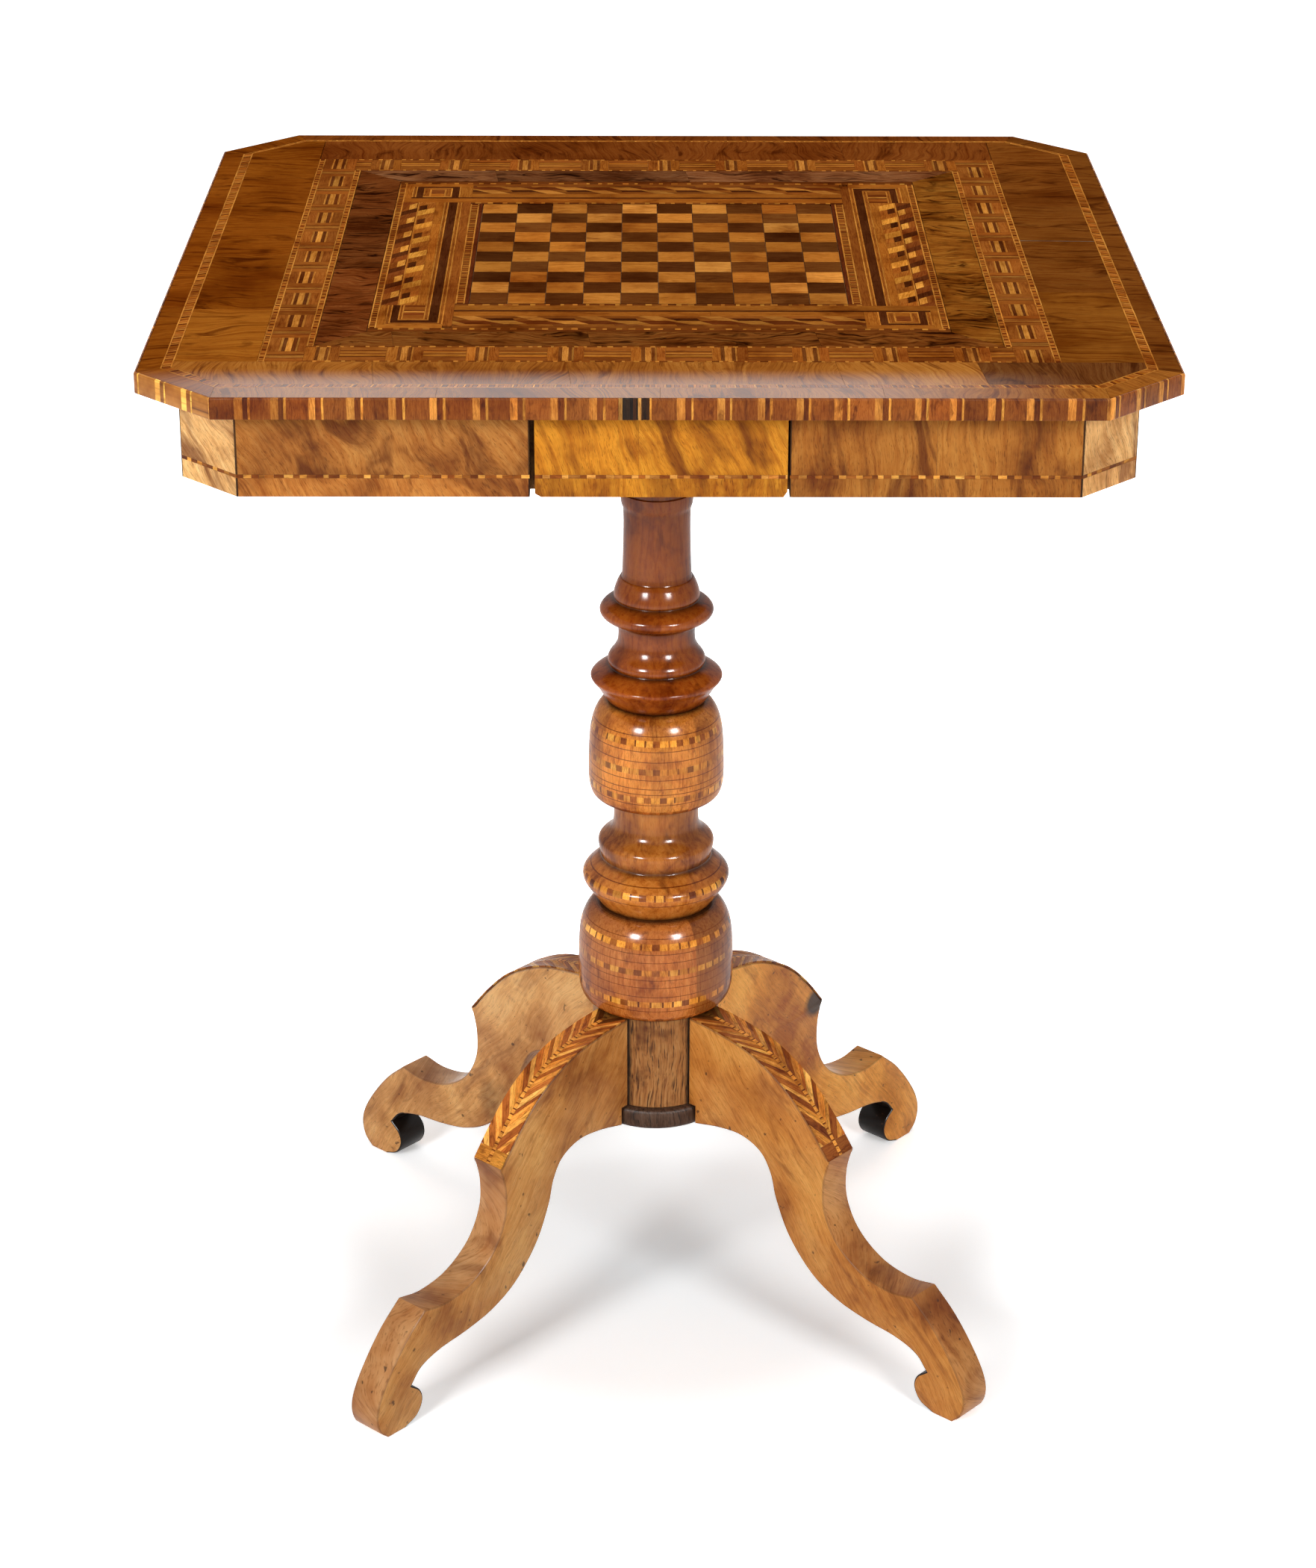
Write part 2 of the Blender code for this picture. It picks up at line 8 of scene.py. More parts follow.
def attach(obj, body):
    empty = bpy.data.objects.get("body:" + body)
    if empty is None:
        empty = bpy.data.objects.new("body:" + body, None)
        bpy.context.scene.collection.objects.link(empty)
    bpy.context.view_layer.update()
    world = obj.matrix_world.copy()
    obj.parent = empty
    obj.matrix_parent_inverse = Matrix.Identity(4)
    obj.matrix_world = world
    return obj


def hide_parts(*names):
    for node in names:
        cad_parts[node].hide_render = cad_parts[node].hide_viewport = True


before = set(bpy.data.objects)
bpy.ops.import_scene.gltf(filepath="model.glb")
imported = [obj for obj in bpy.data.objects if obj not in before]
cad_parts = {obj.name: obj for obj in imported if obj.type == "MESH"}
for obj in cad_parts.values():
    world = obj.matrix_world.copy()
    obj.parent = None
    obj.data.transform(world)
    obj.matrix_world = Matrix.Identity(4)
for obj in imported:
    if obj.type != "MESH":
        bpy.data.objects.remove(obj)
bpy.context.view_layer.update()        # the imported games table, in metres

chance = np.random.default_rng(1847)
print("frame loaded:", len(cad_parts), "nodes")


def linear(hexColour):
    # an sRGB hex colour as linear red, green and blue, by the sRGB curve
    parts = np.array([int(hexColour[i:i + 2], 16) for i in (1, 3, 5)]) / 255
    return np.where(parts <= 0.04045, parts / 12.92, ((parts + 0.055) / 1.055) ** 2.4)


def addNode(tree, kind, settings, links=None):
    # one shader node with its settings and links; a key is a property, an input's name or an input's number
    node = tree.nodes.new("ShaderNode" + kind)
    for key, value in settings.items():
        if key == "stops":
            ramp = node.color_ramp.elements
            while len(ramp) < len(value):
                ramp.new(1.0)
            for stop, (position, colour) in zip(ramp, value):
                stop.position = position
                stop.color = (*linear(colour), 1.0)
        elif isinstance(key, str) and hasattr(node, key):
            setattr(node, key, value)
        else:
            node.inputs[key].default_value = value
    for key, socket in (links or {}).items():
        tree.links.new(socket, node.inputs[key])
    return node


def emptyMaterial(name):
    # a new material and its cleared node tree
    material = bpy.data.materials.new(name)
    material.use_nodes = True
    material.node_tree.nodes.clear()
    return material, material.node_tree


# Camera: where the photograph was taken from, at the photograph's angle of view
cameraSetup = {
    "place": (-0.0125, -2.2907, 1.3945),
    "turn": 0.0060,      # to the right, radians
    "tilt": -0.4169,     # downwards
    "roll": 0.0032,
    "lens": 85.1,        # mm
    "frameHeight": 36.0,     # mm
    "seesTo": 60.0,      # metres
}


def placeCamera(setup):
    # it looks ahead along its turn and tilt; its level and upright axes are then rolled about that line
    lens = bpy.data.cameras.new("photographAngle")
    lens.sensor_fit = "VERTICAL"
    lens.sensor_height = setup["frameHeight"]
    lens.lens = setup["lens"]
    lens.clip_end = setup["seesTo"]
    camera = bpy.data.objects.new("photographAngle", lens)
    turn, tilt, roll = setup["turn"], setup["tilt"], setup["roll"]
    ahead = Vector((sin(turn) * cos(tilt), cos(turn) * cos(tilt), sin(tilt)))
    level = Vector((cos(turn), -sin(turn), 0.0))
    above = level.cross(ahead)
    right = cos(roll) * level + sin(roll) * above
    up = -sin(roll) * level + cos(roll) * above
    camera.matrix_world = Matrix((right, up, -ahead)).transposed().to_4x4()
    camera.location = setup["place"]
    bpy.context.collection.objects.link(camera)
    bpy.context.scene.camera = camera


placeCamera(cameraSetup)
bpy.context.scene.view_settings.view_transform = "Standard"
print("camera placed")


# Wood. Every kind is walnut, maple, fruitwood or pine under shellac and wax. The grain is stretched
# noise: long streaks, short pores across them, and slow cloudy figure. A piece of marquetry carries its
# own tone and the run of its own grain as attributes; solid wood reads Object coordinates.
# What every wood shares unless its own look says otherwise; a noise is its detail and its distortion
plainLook = {
    "dullFrom": 0.3, "dullTo": 0.7,
    "bendDetail": 2.0, "grainRoughness": 0.62, "streakNoise": (5.0, 0.5), "poreNoise": (2.0, 0.0),
    "figureDetail": 3.0, "swirl": 0.8, "poreFrom": 0.33, "poreTo": 0.45, "figureBlend": 0.16, "patchDetail": 4.0,
    "patchRoughness": 0.6,
    "specksDetail": 1.5, "specksFrom": 0.70, "specksTo": 0.76, "specksDepth": 0.8, "specksTone": "#3a2416",
    "stains": (), "stainRagged": 0.45, "stainSolid": 0.55, "stainDepth": 0.93,
    "poreRelief": 0.6, "waviness": 1.5, "reliefHeight": 0.0004, "duller": 0.07, "brighter": 0.05,
    "roughness": 0.50, "gloss": 0.0, "ior": 1.5, "shellac": 0.0, "shellacIor": 1.5, "shellacRoughness": 0.2,
}


def woodMaterial(name, ownLook):
    # tone times streaks, pores, figure and patches of handling, then specks, stains, relief and polish
    look = {**plainLook, **ownLook}
    material, tree = emptyMaterial(name)
    place = addNode(tree, "TexCoord", {}).outputs["Object"]
    if "grainTurn" in look:
        run = addNode(tree, "Mapping", {"Rotation": look["grainTurn"]}, {"Vector": place}).outputs[0]
    else:
        run = addNode(tree, "Attribute", {"attribute_name": "grainRun"}).outputs["Vector"]
    if "tone" in look:
        tone = addNode(tree, "RGB", {}).outputs[0]
        tone.default_value = (*linear(look["tone"]), 1.0)
    else:
        tone = addNode(tree, "Attribute", {"attribute_name": "woodTone"}).outputs["Color"]

    bendLength, bendReach = look["bendMm"]
    bend = addNode(tree, "TexNoise", {"Scale": 1000 / bendLength, "Detail": look["bendDetail"]},
                   {"Vector": run}).outputs["Color"]
    bend = addNode(tree, "VectorMath", {"operation": "SUBTRACT", 1: (0.5, 0.5, 0.5)}, {0: bend}).outputs[0]
    run = addNode(tree, "VectorMath", {"operation": "MULTIPLY_ADD", 1: (bendReach / 1000,) * 3},
                  {0: bend, 2: run}).outputs[0]

    def grain(length, width, detail, distortion):
        # noise squeezed to so many millimetres along the grain and across it
        thick = 1000 / width if "grainTurn" in look else 1.0
        stretched = addNode(tree, "VectorMath", {"operation": "MULTIPLY",
                            1: (1000 / length, 1000 / width, thick)}, {0: run}).outputs[0]
        return addNode(tree, "TexNoise", {"Scale": 1.0, "Detail": detail, "Distortion": distortion,
                       "Roughness": look["grainRoughness"]}, {"Vector": stretched}).outputs["Fac"]

    streak = grain(*look["streakMm"], *look["streakNoise"])
    pore = grain(*look["poreMm"], *look["poreNoise"])
    figure = grain(*look["figureMm"], look["figureDetail"], look["swirl"])
    patch = addNode(tree, "TexNoise", {"Scale": 1000 / look["patchMm"], "Detail": look["patchDetail"],
                    "Roughness": look["patchRoughness"]}, {"Vector": place}).outputs["Fac"]
    darkMask = addNode(tree, "MapRange", {"From Min": look["figureFrom"],
                       "From Max": look["figureFrom"] - look["figureBlend"], "To Min": 0.0,
                       "To Max": look["figureDepth"]}, {"Value": figure}).outputs[0]

    # each layer tints what lies under it: streaks, pores, dark figure, and patches of polish and dirt
    streakTint = addNode(tree, "ValToRGB", {"stops": look["streakStops"]}, {0: streak}).outputs[0]
    poreStops = [(look["poreFrom"], look["poreTone"]), (look["poreTo"], "#ffffff")]
    poreTint = addNode(tree, "ValToRGB", {"stops": poreStops}, {0: pore}).outputs[0]
    figureTint = addNode(tree, "RGB", {}).outputs[0]
    figureTint.default_value = (*linear(look["figureTone"]), 1.0)
    patchTint = addNode(tree, "ValToRGB", {"stops": look["patchStops"]}, {0: patch}).outputs[0]
    multiply = {"data_type": "RGBA", "blend_type": "MULTIPLY", 0: 1.0}
    colour = addNode(tree, "Mix", multiply, {6: tone, 7: streakTint}).outputs[2]
    colour = addNode(tree, "Mix", {**multiply, 0: look["poreDepth"]}, {6: colour, 7: poreTint}).outputs[2]
    colour = addNode(tree, "Mix", multiply, {0: darkMask, 6: colour, 7: figureTint}).outputs[2]
    colour = addNode(tree, "Mix", multiply, {6: colour, 7: patchTint}).outputs[2]
    if "specksMm" in look:     # worm holes and knocks filled with dirt
        speck = addNode(tree, "TexNoise", {"Scale": 1000 / look["specksMm"], "Detail": look["specksDetail"]},
                        {"Vector": place}).outputs["Fac"]
        speck = addNode(tree, "MapRange", {"From Min": look["specksFrom"], "From Max": look["specksTo"],
                        "To Max": look["specksDepth"]}, {"Value": speck}).outputs[0]
        dirt = addNode(tree, "RGB", {}).outputs[0]
        dirt.default_value = (*linear(look["specksTone"]), 1.0)
        colour = addNode(tree, "Mix", {"data_type": "RGBA"}, {0: speck, 6: colour, 7: dirt}).outputs[2]
    colour = addNode(tree, "VectorMath", {"operation": "MULTIPLY", 1: look["lift"]}, {0: colour}).outputs[0]
    for centre, radius, stainTone in look["stains"]:
        away = addNode(tree, "VectorMath", {"operation": "DISTANCE", 1: centre}, {0: place}).outputs["Value"]
        ragged = radius * look["stainRagged"]
        ragged = addNode(tree, "Math", {"operation": "MULTIPLY_ADD", 1: 2 * ragged, 2: -ragged},
                         {0: patch}).outputs[0]
        reach = addNode(tree, "Math", {"operation": "ADD"}, {0: away, 1: ragged}).outputs[0]
        mask = addNode(tree, "MapRange", {"From Min": radius, "From Max": radius * look["stainSolid"],
                       "To Max": look["stainDepth"]}, {"Value": reach}).outputs[0]
        stain = addNode(tree, "RGB", {}).outputs[0]
        stain.default_value = (*linear(stainTone), 1.0)
        colour = addNode(tree, "Mix", {"data_type": "RGBA"}, {0: mask, 6: colour, 7: stain}).outputs[2]

    relief = addNode(tree, "Math", {"operation": "MULTIPLY_ADD", 1: look["poreRelief"]},
                     {0: pore, 2: streak}).outputs[0]
    relief = addNode(tree, "Math", {"operation": "MULTIPLY_ADD", 1: look["waviness"]},
                     {0: patch, 2: relief}).outputs[0]
    bump = addNode(tree, "Bump", {"Strength": look["bump"], "Distance": look["reliefHeight"]},
                   {"Height": relief}).outputs[0]
    rough = addNode(tree, "MapRange", {"From Min": look["dullFrom"], "From Max": look["dullTo"],
                    "To Min": look["roughness"] + look["duller"], "To Max": look["roughness"] - look["brighter"]},
                    {"Value": patch}).outputs[0]
    inputs = {"Base Color": colour, "Roughness": rough, "Normal": bump}
    if "polished" in look:     # a box whose shellac still shines: from its edges in, it fades to full
        spread = addNode(tree, "SeparateXYZ", {}, {0: place})
        sides = []
        for axis, (low, full, fullEnd, high) in zip("XY", look["polished"]):
            for start, stop in ((low, full), (high, fullEnd)):
                fade = {"interpolation_type": "SMOOTHSTEP", "From Min": start, "From Max": stop}
                sides.append(addNode(tree, "MapRange", fade, {"Value": spread.outputs[axis]}).outputs[0])
        inputs["Coat Weight"] = sides[0]
        for side in sides[1:]:
            inputs["Coat Weight"] = addNode(tree, "Math", {"operation": "MULTIPLY"},
                                            {0: inputs["Coat Weight"], 1: side}).outputs[0]
    shader = addNode(tree, "BsdfPrincipled", {"Specular IOR Level": look["gloss"], "IOR": look["ior"],
                     "Coat Weight": look["shellac"], "Coat IOR": look["shellacIor"],
                     "Coat Roughness": look["shellacRoughness"]}, inputs)
    addNode(tree, "OutputMaterial", {}, {"Surface": shader.outputs[0]})
    return material


# Where the top still shines: start, full, end of full and end, along X and along Y
polishedFront = {"polished": [(-0.34, -0.22, 0.09, 0.25), (-0.32, -0.31, -0.279, -0.246)], "shellacIor": 1.86}
# Small veneers of the top, worn flat and waxed many times: satin, with fine open pores
waxedMarquetry = woodMaterial("waxedMarquetry", {
    "bendMm": (40, 6), "lift": (1.35, 1.56, 1.67), "streakMm": (16, 0.8), "poreMm": (4, 0.28),
    "figureMm": (26, 8),
    "streakStops": [(0.30, "#bd9f87"), (0.52, "#f0e4d8"), (0.72, "#ffffff")],
    "poreTone": "#8a6648", "poreDepth": 0.50,
    "figureFrom": 0.45, "figureDepth": 0.50, "figureTone": "#98705a",
    "patchMm": 50, "patchStops": [(0.32, "#c2aa94"), (0.5, "#f2ebe4"), (0.68, "#ffffff")],
    **polishedFront, "bump": 0.30,
})
# Crossbanded walnut of the borders: broad leaves, brown with darker rays of figure
crossbandedWalnut = woodMaterial("crossbandedWalnut", {
    "bendMm": (100, 62), "lift": (1.35, 1.54, 1.62), "streakMm": (60, 1.8), "poreMm": (5, 0.32),
    "figureMm": (62, 15), "swirl": 1.8,
    "streakStops": [(0.28, "#b8967c"), (0.50, "#ebdccd"), (0.74, "#ffffff")],
    "poreTone": "#8a6648", "poreDepth": 0.45,
    "figureFrom": 0.47, "figureDepth": 0.72, "figureTone": "#82502f",
    "patchMm": 80, "patchStops": [(0.30, "#bba088"), (0.5, "#f0e8df"), (0.70, "#ffffff")],
    **polishedFront, "bump": 0.34,
})
# Burr and root walnut of the inner frame: swirling, with near-black pools
burrWalnut = woodMaterial("burrWalnut", {
    "bendMm": (38, 32), "lift": (1.42, 1.78, 2.20), "streakMm": (26, 2.0), "poreMm": (4, 0.4),
    "figureMm": (52, 17), "swirl": 2.6,
    "streakStops": [(0.28, "#93694e"), (0.50, "#dfc8b4"), (0.72, "#ffffff")],
    "poreTone": "#70503a", "poreDepth": 0.45,
    "figureFrom": 0.49, "figureDepth": 0.94, "figureTone": "#50301d",
    "patchMm": 48, "patchStops": [(0.32, "#ae957f"), (0.5, "#efe6dc"), (0.68, "#ffffff")],
    "bump": 0.34,
})
# Walnut of the frieze and drawer: honey brown, broad slanting figure under short open pores, satin shellac
friezeWalnut = woodMaterial("friezeWalnut", {
    "bendMm": (60, 26), "lift": (1.42, 1.74, 1.84), "streakMm": (34, 2.4), "poreMm": (4, 0.42),
    "figureMm": (90, 26), "swirl": 1.4,
    "streakStops": [(0.28, "#cbab8c"), (0.50, "#f1e3d3"), (0.72, "#ffffff")],
    "poreTone": "#76523a", "poreDepth": 0.60,
    "figureFrom": 0.50, "figureDepth": 0.76, "figureTone": "#80543a",
    "patchMm": 42, "patchStops": [(0.30, "#a98b70"), (0.5, "#f0e6da"), (0.68, "#ffffff")],
    "bump": 0.38, "roughness": 0.42, "gloss": 0.08,
})
# Striped band on the edge and strips on the legs: short, cut end to end, and polished by handling
stripedEdge = woodMaterial("stripedEdge", {
    "bendMm": (30, 4), "lift": (1.58, 1.72, 1.66), "streakMm": (10, 0.9), "poreMm": (3, 0.30),
    "figureMm": (16, 6),
    "streakStops": [(0.30, "#bc9c80"), (0.52, "#f0e4d8"), (0.72, "#ffffff")],
    "poreTone": "#82603f", "poreDepth": 0.60,
    "figureFrom": 0.48, "figureDepth": 0.72, "figureTone": "#80583e",
    "patchMm": 36, "patchStops": [(0.32, "#b89d85"), (0.5, "#f2ebe4"), (0.68, "#ffffff")],
    "bump": 0.34, "roughness": 0.36, "gloss": 0.08,
})
# Turned fruitwood of the pillar: close grained, polished on the lathe, so it shows small bright lights
turnedFruitwood = woodMaterial("turnedFruitwood", {
    "grainTurn": (0.0, radians(90), 0.0),
    "bendMm": (60, 14), "lift": (1.30, 1.36, 1.30), "streakMm": (44, 3.0), "poreMm": (6, 0.5),
    "figureMm": (60, 24), "swirl": 1.6,
    "streakStops": [(0.28, "#c39f80"), (0.50, "#f0e2d2"), (0.72, "#ffffff")],
    "poreTone": "#7d583c", "poreDepth": 0.35,
    "figureFrom": 0.45, "figureDepth": 0.62, "figureTone": "#74482e",
    "patchMm": 34, "patchStops": [(0.32, "#a4846a"), (0.5, "#efe6dc"), (0.68, "#ffffff")],
    "bump": 0.16, "waviness": 0.8, "roughness": 0.32, "shellac": 0.36, "shellacRoughness": 0.17,
})
# Inlaid drums: staves and rows of small blocks turned flush together, under bright shellac
inlaidDrumWood = woodMaterial("inlaidDrumWood", {
    "grainTurn": (0.0, radians(90), 0.0),
    "bendMm": (40, 6), "lift": (1.34, 1.42, 1.34), "streakMm": (18, 1.4), "poreMm": (4, 0.45),
    "figureMm": (24, 10), "swirl": 1.4,
    "streakStops": [(0.28, "#c09b7a"), (0.50, "#f0e1d0"), (0.72, "#ffffff")],
    "poreTone": "#7d583c", "poreDepth": 0.45,
    "figureFrom": 0.44, "figureDepth": 0.60, "figureTone": "#7c4f33",
    "patchMm": 30, "patchStops": [(0.32, "#b3957a"), (0.5, "#f2e9df"), (0.68, "#ffffff")],
    "bump": 0.16, "waviness": 0.8, "roughness": 0.32, "shellac": 0.36, "shellacRoughness": 0.17,
})


def meshPiece(name, points, faces, material, tones=None, runs=None, bakeMap=None, sharpAngle=None):
    # one mesh object at the origin; tones and runs are given face corner by face corner
    mesh = bpy.data.meshes.new(name)
    mesh.from_pydata(np.asarray(points).tolist(), [], faces)
    if tones is not None:
        layer = mesh.color_attributes.new("woodTone", "FLOAT_COLOR", "CORNER")
        layer.data.foreach_set("color", np.column_stack([tones, np.ones(len(tones))]).ravel())
    if runs is not None:
        mesh.attributes.new("grainRun", "FLOAT_VECTOR", "CORNER").data.foreach_set("vector", np.ravel(runs))
    if bakeMap is not None:
        mesh.uv_layers.new(name="OFBake").data.foreach_set("uv", np.ravel(bakeMap))
    mesh.materials.append(material)
    if sharpAngle is not None:
        mesh.shade_smooth()
        mesh.set_sharp_from_angle(angle=radians(sharpAngle))
    piece = bpy.data.objects.new(name, mesh)
    bpy.context.collection.objects.link(piece)
    return piece


def turnedRound(x, y, z, angle):
    # points turned by an angle round the upright axis
    return np.stack([x * cos(angle) - y * sin(angle), x * sin(angle) + y * cos(angle), z], axis=-1)


def settle(piece, body, slotName, *nodeNames):
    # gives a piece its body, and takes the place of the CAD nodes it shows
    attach(piece, body)
    if nodeNames:
        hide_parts(*nodeNames)
    return piece


# Tiles: each veneer is a polygon in a flat sheet, with its tone and the angle of its grain. A place
# function lays the sheet on the table, a wall or a leg.
sheetSetup = {
    "sideShade": 0.6,        # glue and dirt darken the sides and backs of a veneer
    "seedReach": 90,         # how far apart two veneers lie in the noise of their grain
    "rowMargin": 0.014,      # metres each row of the bake map reaches over its neighbours
    "mapEdge": 0.02, "mapSpan": 0.96, "parkedSize": 0.012,      # shares of the bake map
}


def flatSheet(u, v, h):
    # the top's own sheet: across, back and up are x, y and z
    return np.stack([u, v, h], axis=-1)


def layTiles(name, tiles, place, low, high, material, joint=0.00005, unevenness=0.00006, rows=1):
    # every polygon is drawn in by the joint along its mitred corners and pushed out from low to high
    points, faces, tones, runs, bakeMap = [], [], [], [], []
    everyCorner = np.vstack([tile[0] for tile in tiles])
    start, reach = everyCorner.min(axis=0), np.ptp(everyCorner, axis=0)
    margin = sheetSetup["rowMargin"] if rows > 1 else 0.0
    mapEdge, mapSpan, shade = (sheetSetup[key] for key in ("mapEdge", "mapSpan", "sideShade"))
    total = 0
    for size in sorted({len(tile[0]) for tile in tiles}):
        group = [tile for tile in tiles if len(tile[0]) == size]
        corner = np.array([tile[0] for tile in group], dtype=float)
        following = np.roll(corner, -1, axis=1)
        area = (corner[..., 0] * following[..., 1] - following[..., 0] * corner[..., 1]).sum(axis=1)
        corner[area < 0] = corner[area < 0][:, ::-1]
        edge = np.roll(corner, -1, axis=1) - corner
        edge /= np.linalg.norm(edge, axis=2, keepdims=True)
        outward = np.stack([edge[..., 1], -edge[..., 0]], axis=-1)
        before = np.roll(outward, 1, axis=1)
        facing = 1 + (outward * before).sum(axis=2, keepdims=True)
        corner = corner - joint * (outward + before) / facing
        count = len(group)
        level = np.broadcast_to(high - chance.uniform(0, unevenness, (count, 1)), (count, size))
        bottom = place(corner[..., 0], corner[..., 1], np.full((count, size), low))
        top = place(corner[..., 0], corner[..., 1], level)
        points.append(np.concatenate([bottom, top], axis=1).reshape(-1, 3))
        first = total + 2 * size * np.arange(count)[:, None]
        ring = np.arange(size)
        wall = np.stack([ring, (ring + 1) % size, (ring + 1) % size + size, ring + size], axis=1)
        faces += (first + ring + size).tolist() + (first + ring[::-1]).tolist()
        faces += (first[:, :, None] + wall).reshape(-1, 4).tolist()
        total += 2 * size * count
        tone = np.array([tile[1] for tile in group])
        angle = np.array([tile[2] for tile in group])[:, None]
        seed = chance.uniform(0, sheetSetup["seedReach"], (count, 1))
        along = corner[..., 0] * np.cos(angle) + corner[..., 1] * np.sin(angle)
        across = corner[..., 1] * np.cos(angle) - corner[..., 0] * np.sin(angle)
        run = np.stack([along, across, np.broadcast_to(seed, along.shape)], axis=-1)
        onWall = np.take(run, wall % size, axis=1).reshape(-1, 3)
        runs += [run.reshape(-1, 3), run[:, ::-1].reshape(-1, 3), onWall]
        tones += [np.repeat(tone, size, axis=0), np.repeat(tone, size, axis=0) * shade,
                  np.repeat(tone, 4 * size, axis=0) * shade]
        # bake map: the sheet is folded into rows; sides and backs share one small corner
        middle = corner[..., 0].mean(axis=1, keepdims=True)
        row = np.clip(((middle - start[0]) / reach[0] * rows).astype(int), 0, rows - 1)
        length = reach[0] / rows
        mapU = (corner[..., 0] - start[0] - row * length + margin) / (length + 2 * margin)
        mapV = (row + mapEdge + mapSpan * (corner[..., 1] - start[1]) / reach[1]) / rows
        topMap = mapEdge + mapSpan * np.stack([mapU, mapV], axis=-1)
        around = 2 * pi * ring / size
        parked = sheetSetup["parkedSize"] * (0.5 + 0.5 * np.stack([np.cos(around), np.sin(around)], axis=-1))
        square = sheetSetup["parkedSize"] * np.array([(0, 0), (1, 0), (1, 1), (0, 1)])
        bakeMap += [topMap.reshape(-1, 2), np.tile(parked, (count, 1)), np.tile(square, (count * size, 1))]
    return meshPiece(name, np.vstack(points), faces, material, np.vstack(tones), np.vstack(runs),
                     np.vstack(bakeMap))


def toned(hexColour, spread=0.10):
    # a wood tone, a little lighter, darker, redder or yellower each time; warmth varies a quarter as much
    lift = np.exp(chance.normal(0, spread))
    warm = np.exp(chance.normal(0, spread * 0.25))
    return np.clip(linear(hexColour) * lift * np.array([1.0, warm, warm ** 2]), 0, 1)


def rectangle(u0, u1, v0, v1):
    # the four corners between two places along and two across
    return [(u0, v0), (u1, v0), (u1, v1), (u0, v1)]


def clipped(polygon, direction, limit):
    # what is left of a convex polygon where its points along a direction stay under a limit
    polygon = np.asarray(polygon, dtype=float).reshape(-1, 2)
    over = polygon @ np.asarray(direction) - limit
    kept = []
    for here, there, a, b in zip(polygon, np.roll(polygon, -1, axis=0), over, np.roll(over, -1)):
        if a <= 0:
            kept.append(here)
        if (a < 0 < b) or (b < 0 < a):
            kept.append(here + (there - here) * a / (a - b))
    return np.array(kept)


def turnedTiles(tiles, quarter):
    # the same tiles turned in their sheet by quarter turns
    turn = quarter * pi / 2
    matrix = np.array([[cos(turn), sin(turn)], [-sin(turn), cos(turn)]])
    return [(np.asarray(corners) @ matrix, tone, angle + turn) for corners, tone, angle in tiles]


def slip(u0, u1, v0, v1, hexColour, angle=0.0, spread=0.10):
    # a straight piece of veneer: its rectangle, a tone of its own and the angle of its grain
    return rectangle(u0, u1, v0, v1), toned(hexColour, spread), angle


# Top: sizes shared by its marquetry, in metres from the middle
topSizes = {
    "half": 0.3015, "cornerCut": 0.048, "level": 0.750, "underVeneer": 0.7488, "underside": 0.7372,
    "basketOuter": 0.2329, "basketInner": 0.2025, "burrOuter": 0.2022, "burrInner": 0.1735,
    "gameOuter": 0.1732, "gameInner": 0.1154, "board": 0.1151,
}
lightWood = "#bb7a33"


def layOnTop(name, tiles, material, slotName, *nodeNames, **finish):
    # a sheet of tiles let into the top, flush with its planks' veneer
    sheet = layTiles(name, tiles, flatSheet, topSizes["underVeneer"], topSizes["level"], material, **finish)
    settle(sheet, "table", slotName, *nodeNames)


# Hand cutting: pieces come out shorter or longer by these factors, and vary in tone by these spreads
cutting = {
    "rung": (0.75, 1.3), "rungSpread": 0.16, "dash": (0.7, 1.35), "dashSpread": 0.14, "strip": (0.85, 1.15),
    "slantSpread": 0.12, "sliver": 0.0004,     # metres; anything shorter isn't cut
}


def ladder(u0, u1, v0, v1, line, rungs):
    # stringing: two light lines with rungs of light, brown and red wood between them
    tiles = []
    cuts = np.linspace(u0, u1, 5)
    for a, b in zip(cuts, cuts[1:]):
        tiles.append(slip(a, b, v0, v0 + line, lightWood))
        tiles.append(slip(a, b, v1 - line, v1, lightWood))
    place, step = u0, 0
    while place < u1 - cutting["sliver"]:
        hexColour, length = rungs[step % len(rungs)]
        end = min(place + length * chance.uniform(*cutting["rung"]), u1)
        tone = toned(hexColour, cutting["rungSpread"])
        tiles.append((rectangle(place, end, v0 + line, v1 - line), tone, pi / 2))
        place, step = end, step + 1
    return tiles


def dashes(u0, u1, v0, v1, lengths, tonesUsed):
    # a checkered line: one row of light and dark pieces
    tiles = []
    place, step = u0, 0
    while place < u1 - cutting["sliver"]:
        end = min(place + lengths[step % len(lengths)] * chance.uniform(*cutting["dash"]), u1)
        tone = toned(tonesUsed[step % len(tonesUsed)], cutting["dashSpread"])
        tiles.append((rectangle(place, end, v0, v1), tone, 0.0))
        place, step = end, step + 1
    return tiles


def bars(u0, v0, widths, length, acrossU, tonesUsed, spread=0.12):
    # strips side by side: across U they stand next to each other along U
    tiles = []
    for width, hexColour in zip(widths, tonesUsed):
        if acrossU:
            tiles.append(slip(u0, u0 + width, v0, v0 + length, hexColour, pi / 2, spread))
            u0 += width
        else:
            tiles.append(slip(u0, u0 + length, v0, v0 + width, hexColour, 0.0, spread))
            v0 += width
    return tiles


def unevenShares(shares):
    # shares of a whole, each a little wider or narrower than meant
    return np.array(shares) * chance.uniform(*cutting["strip"], len(shares))


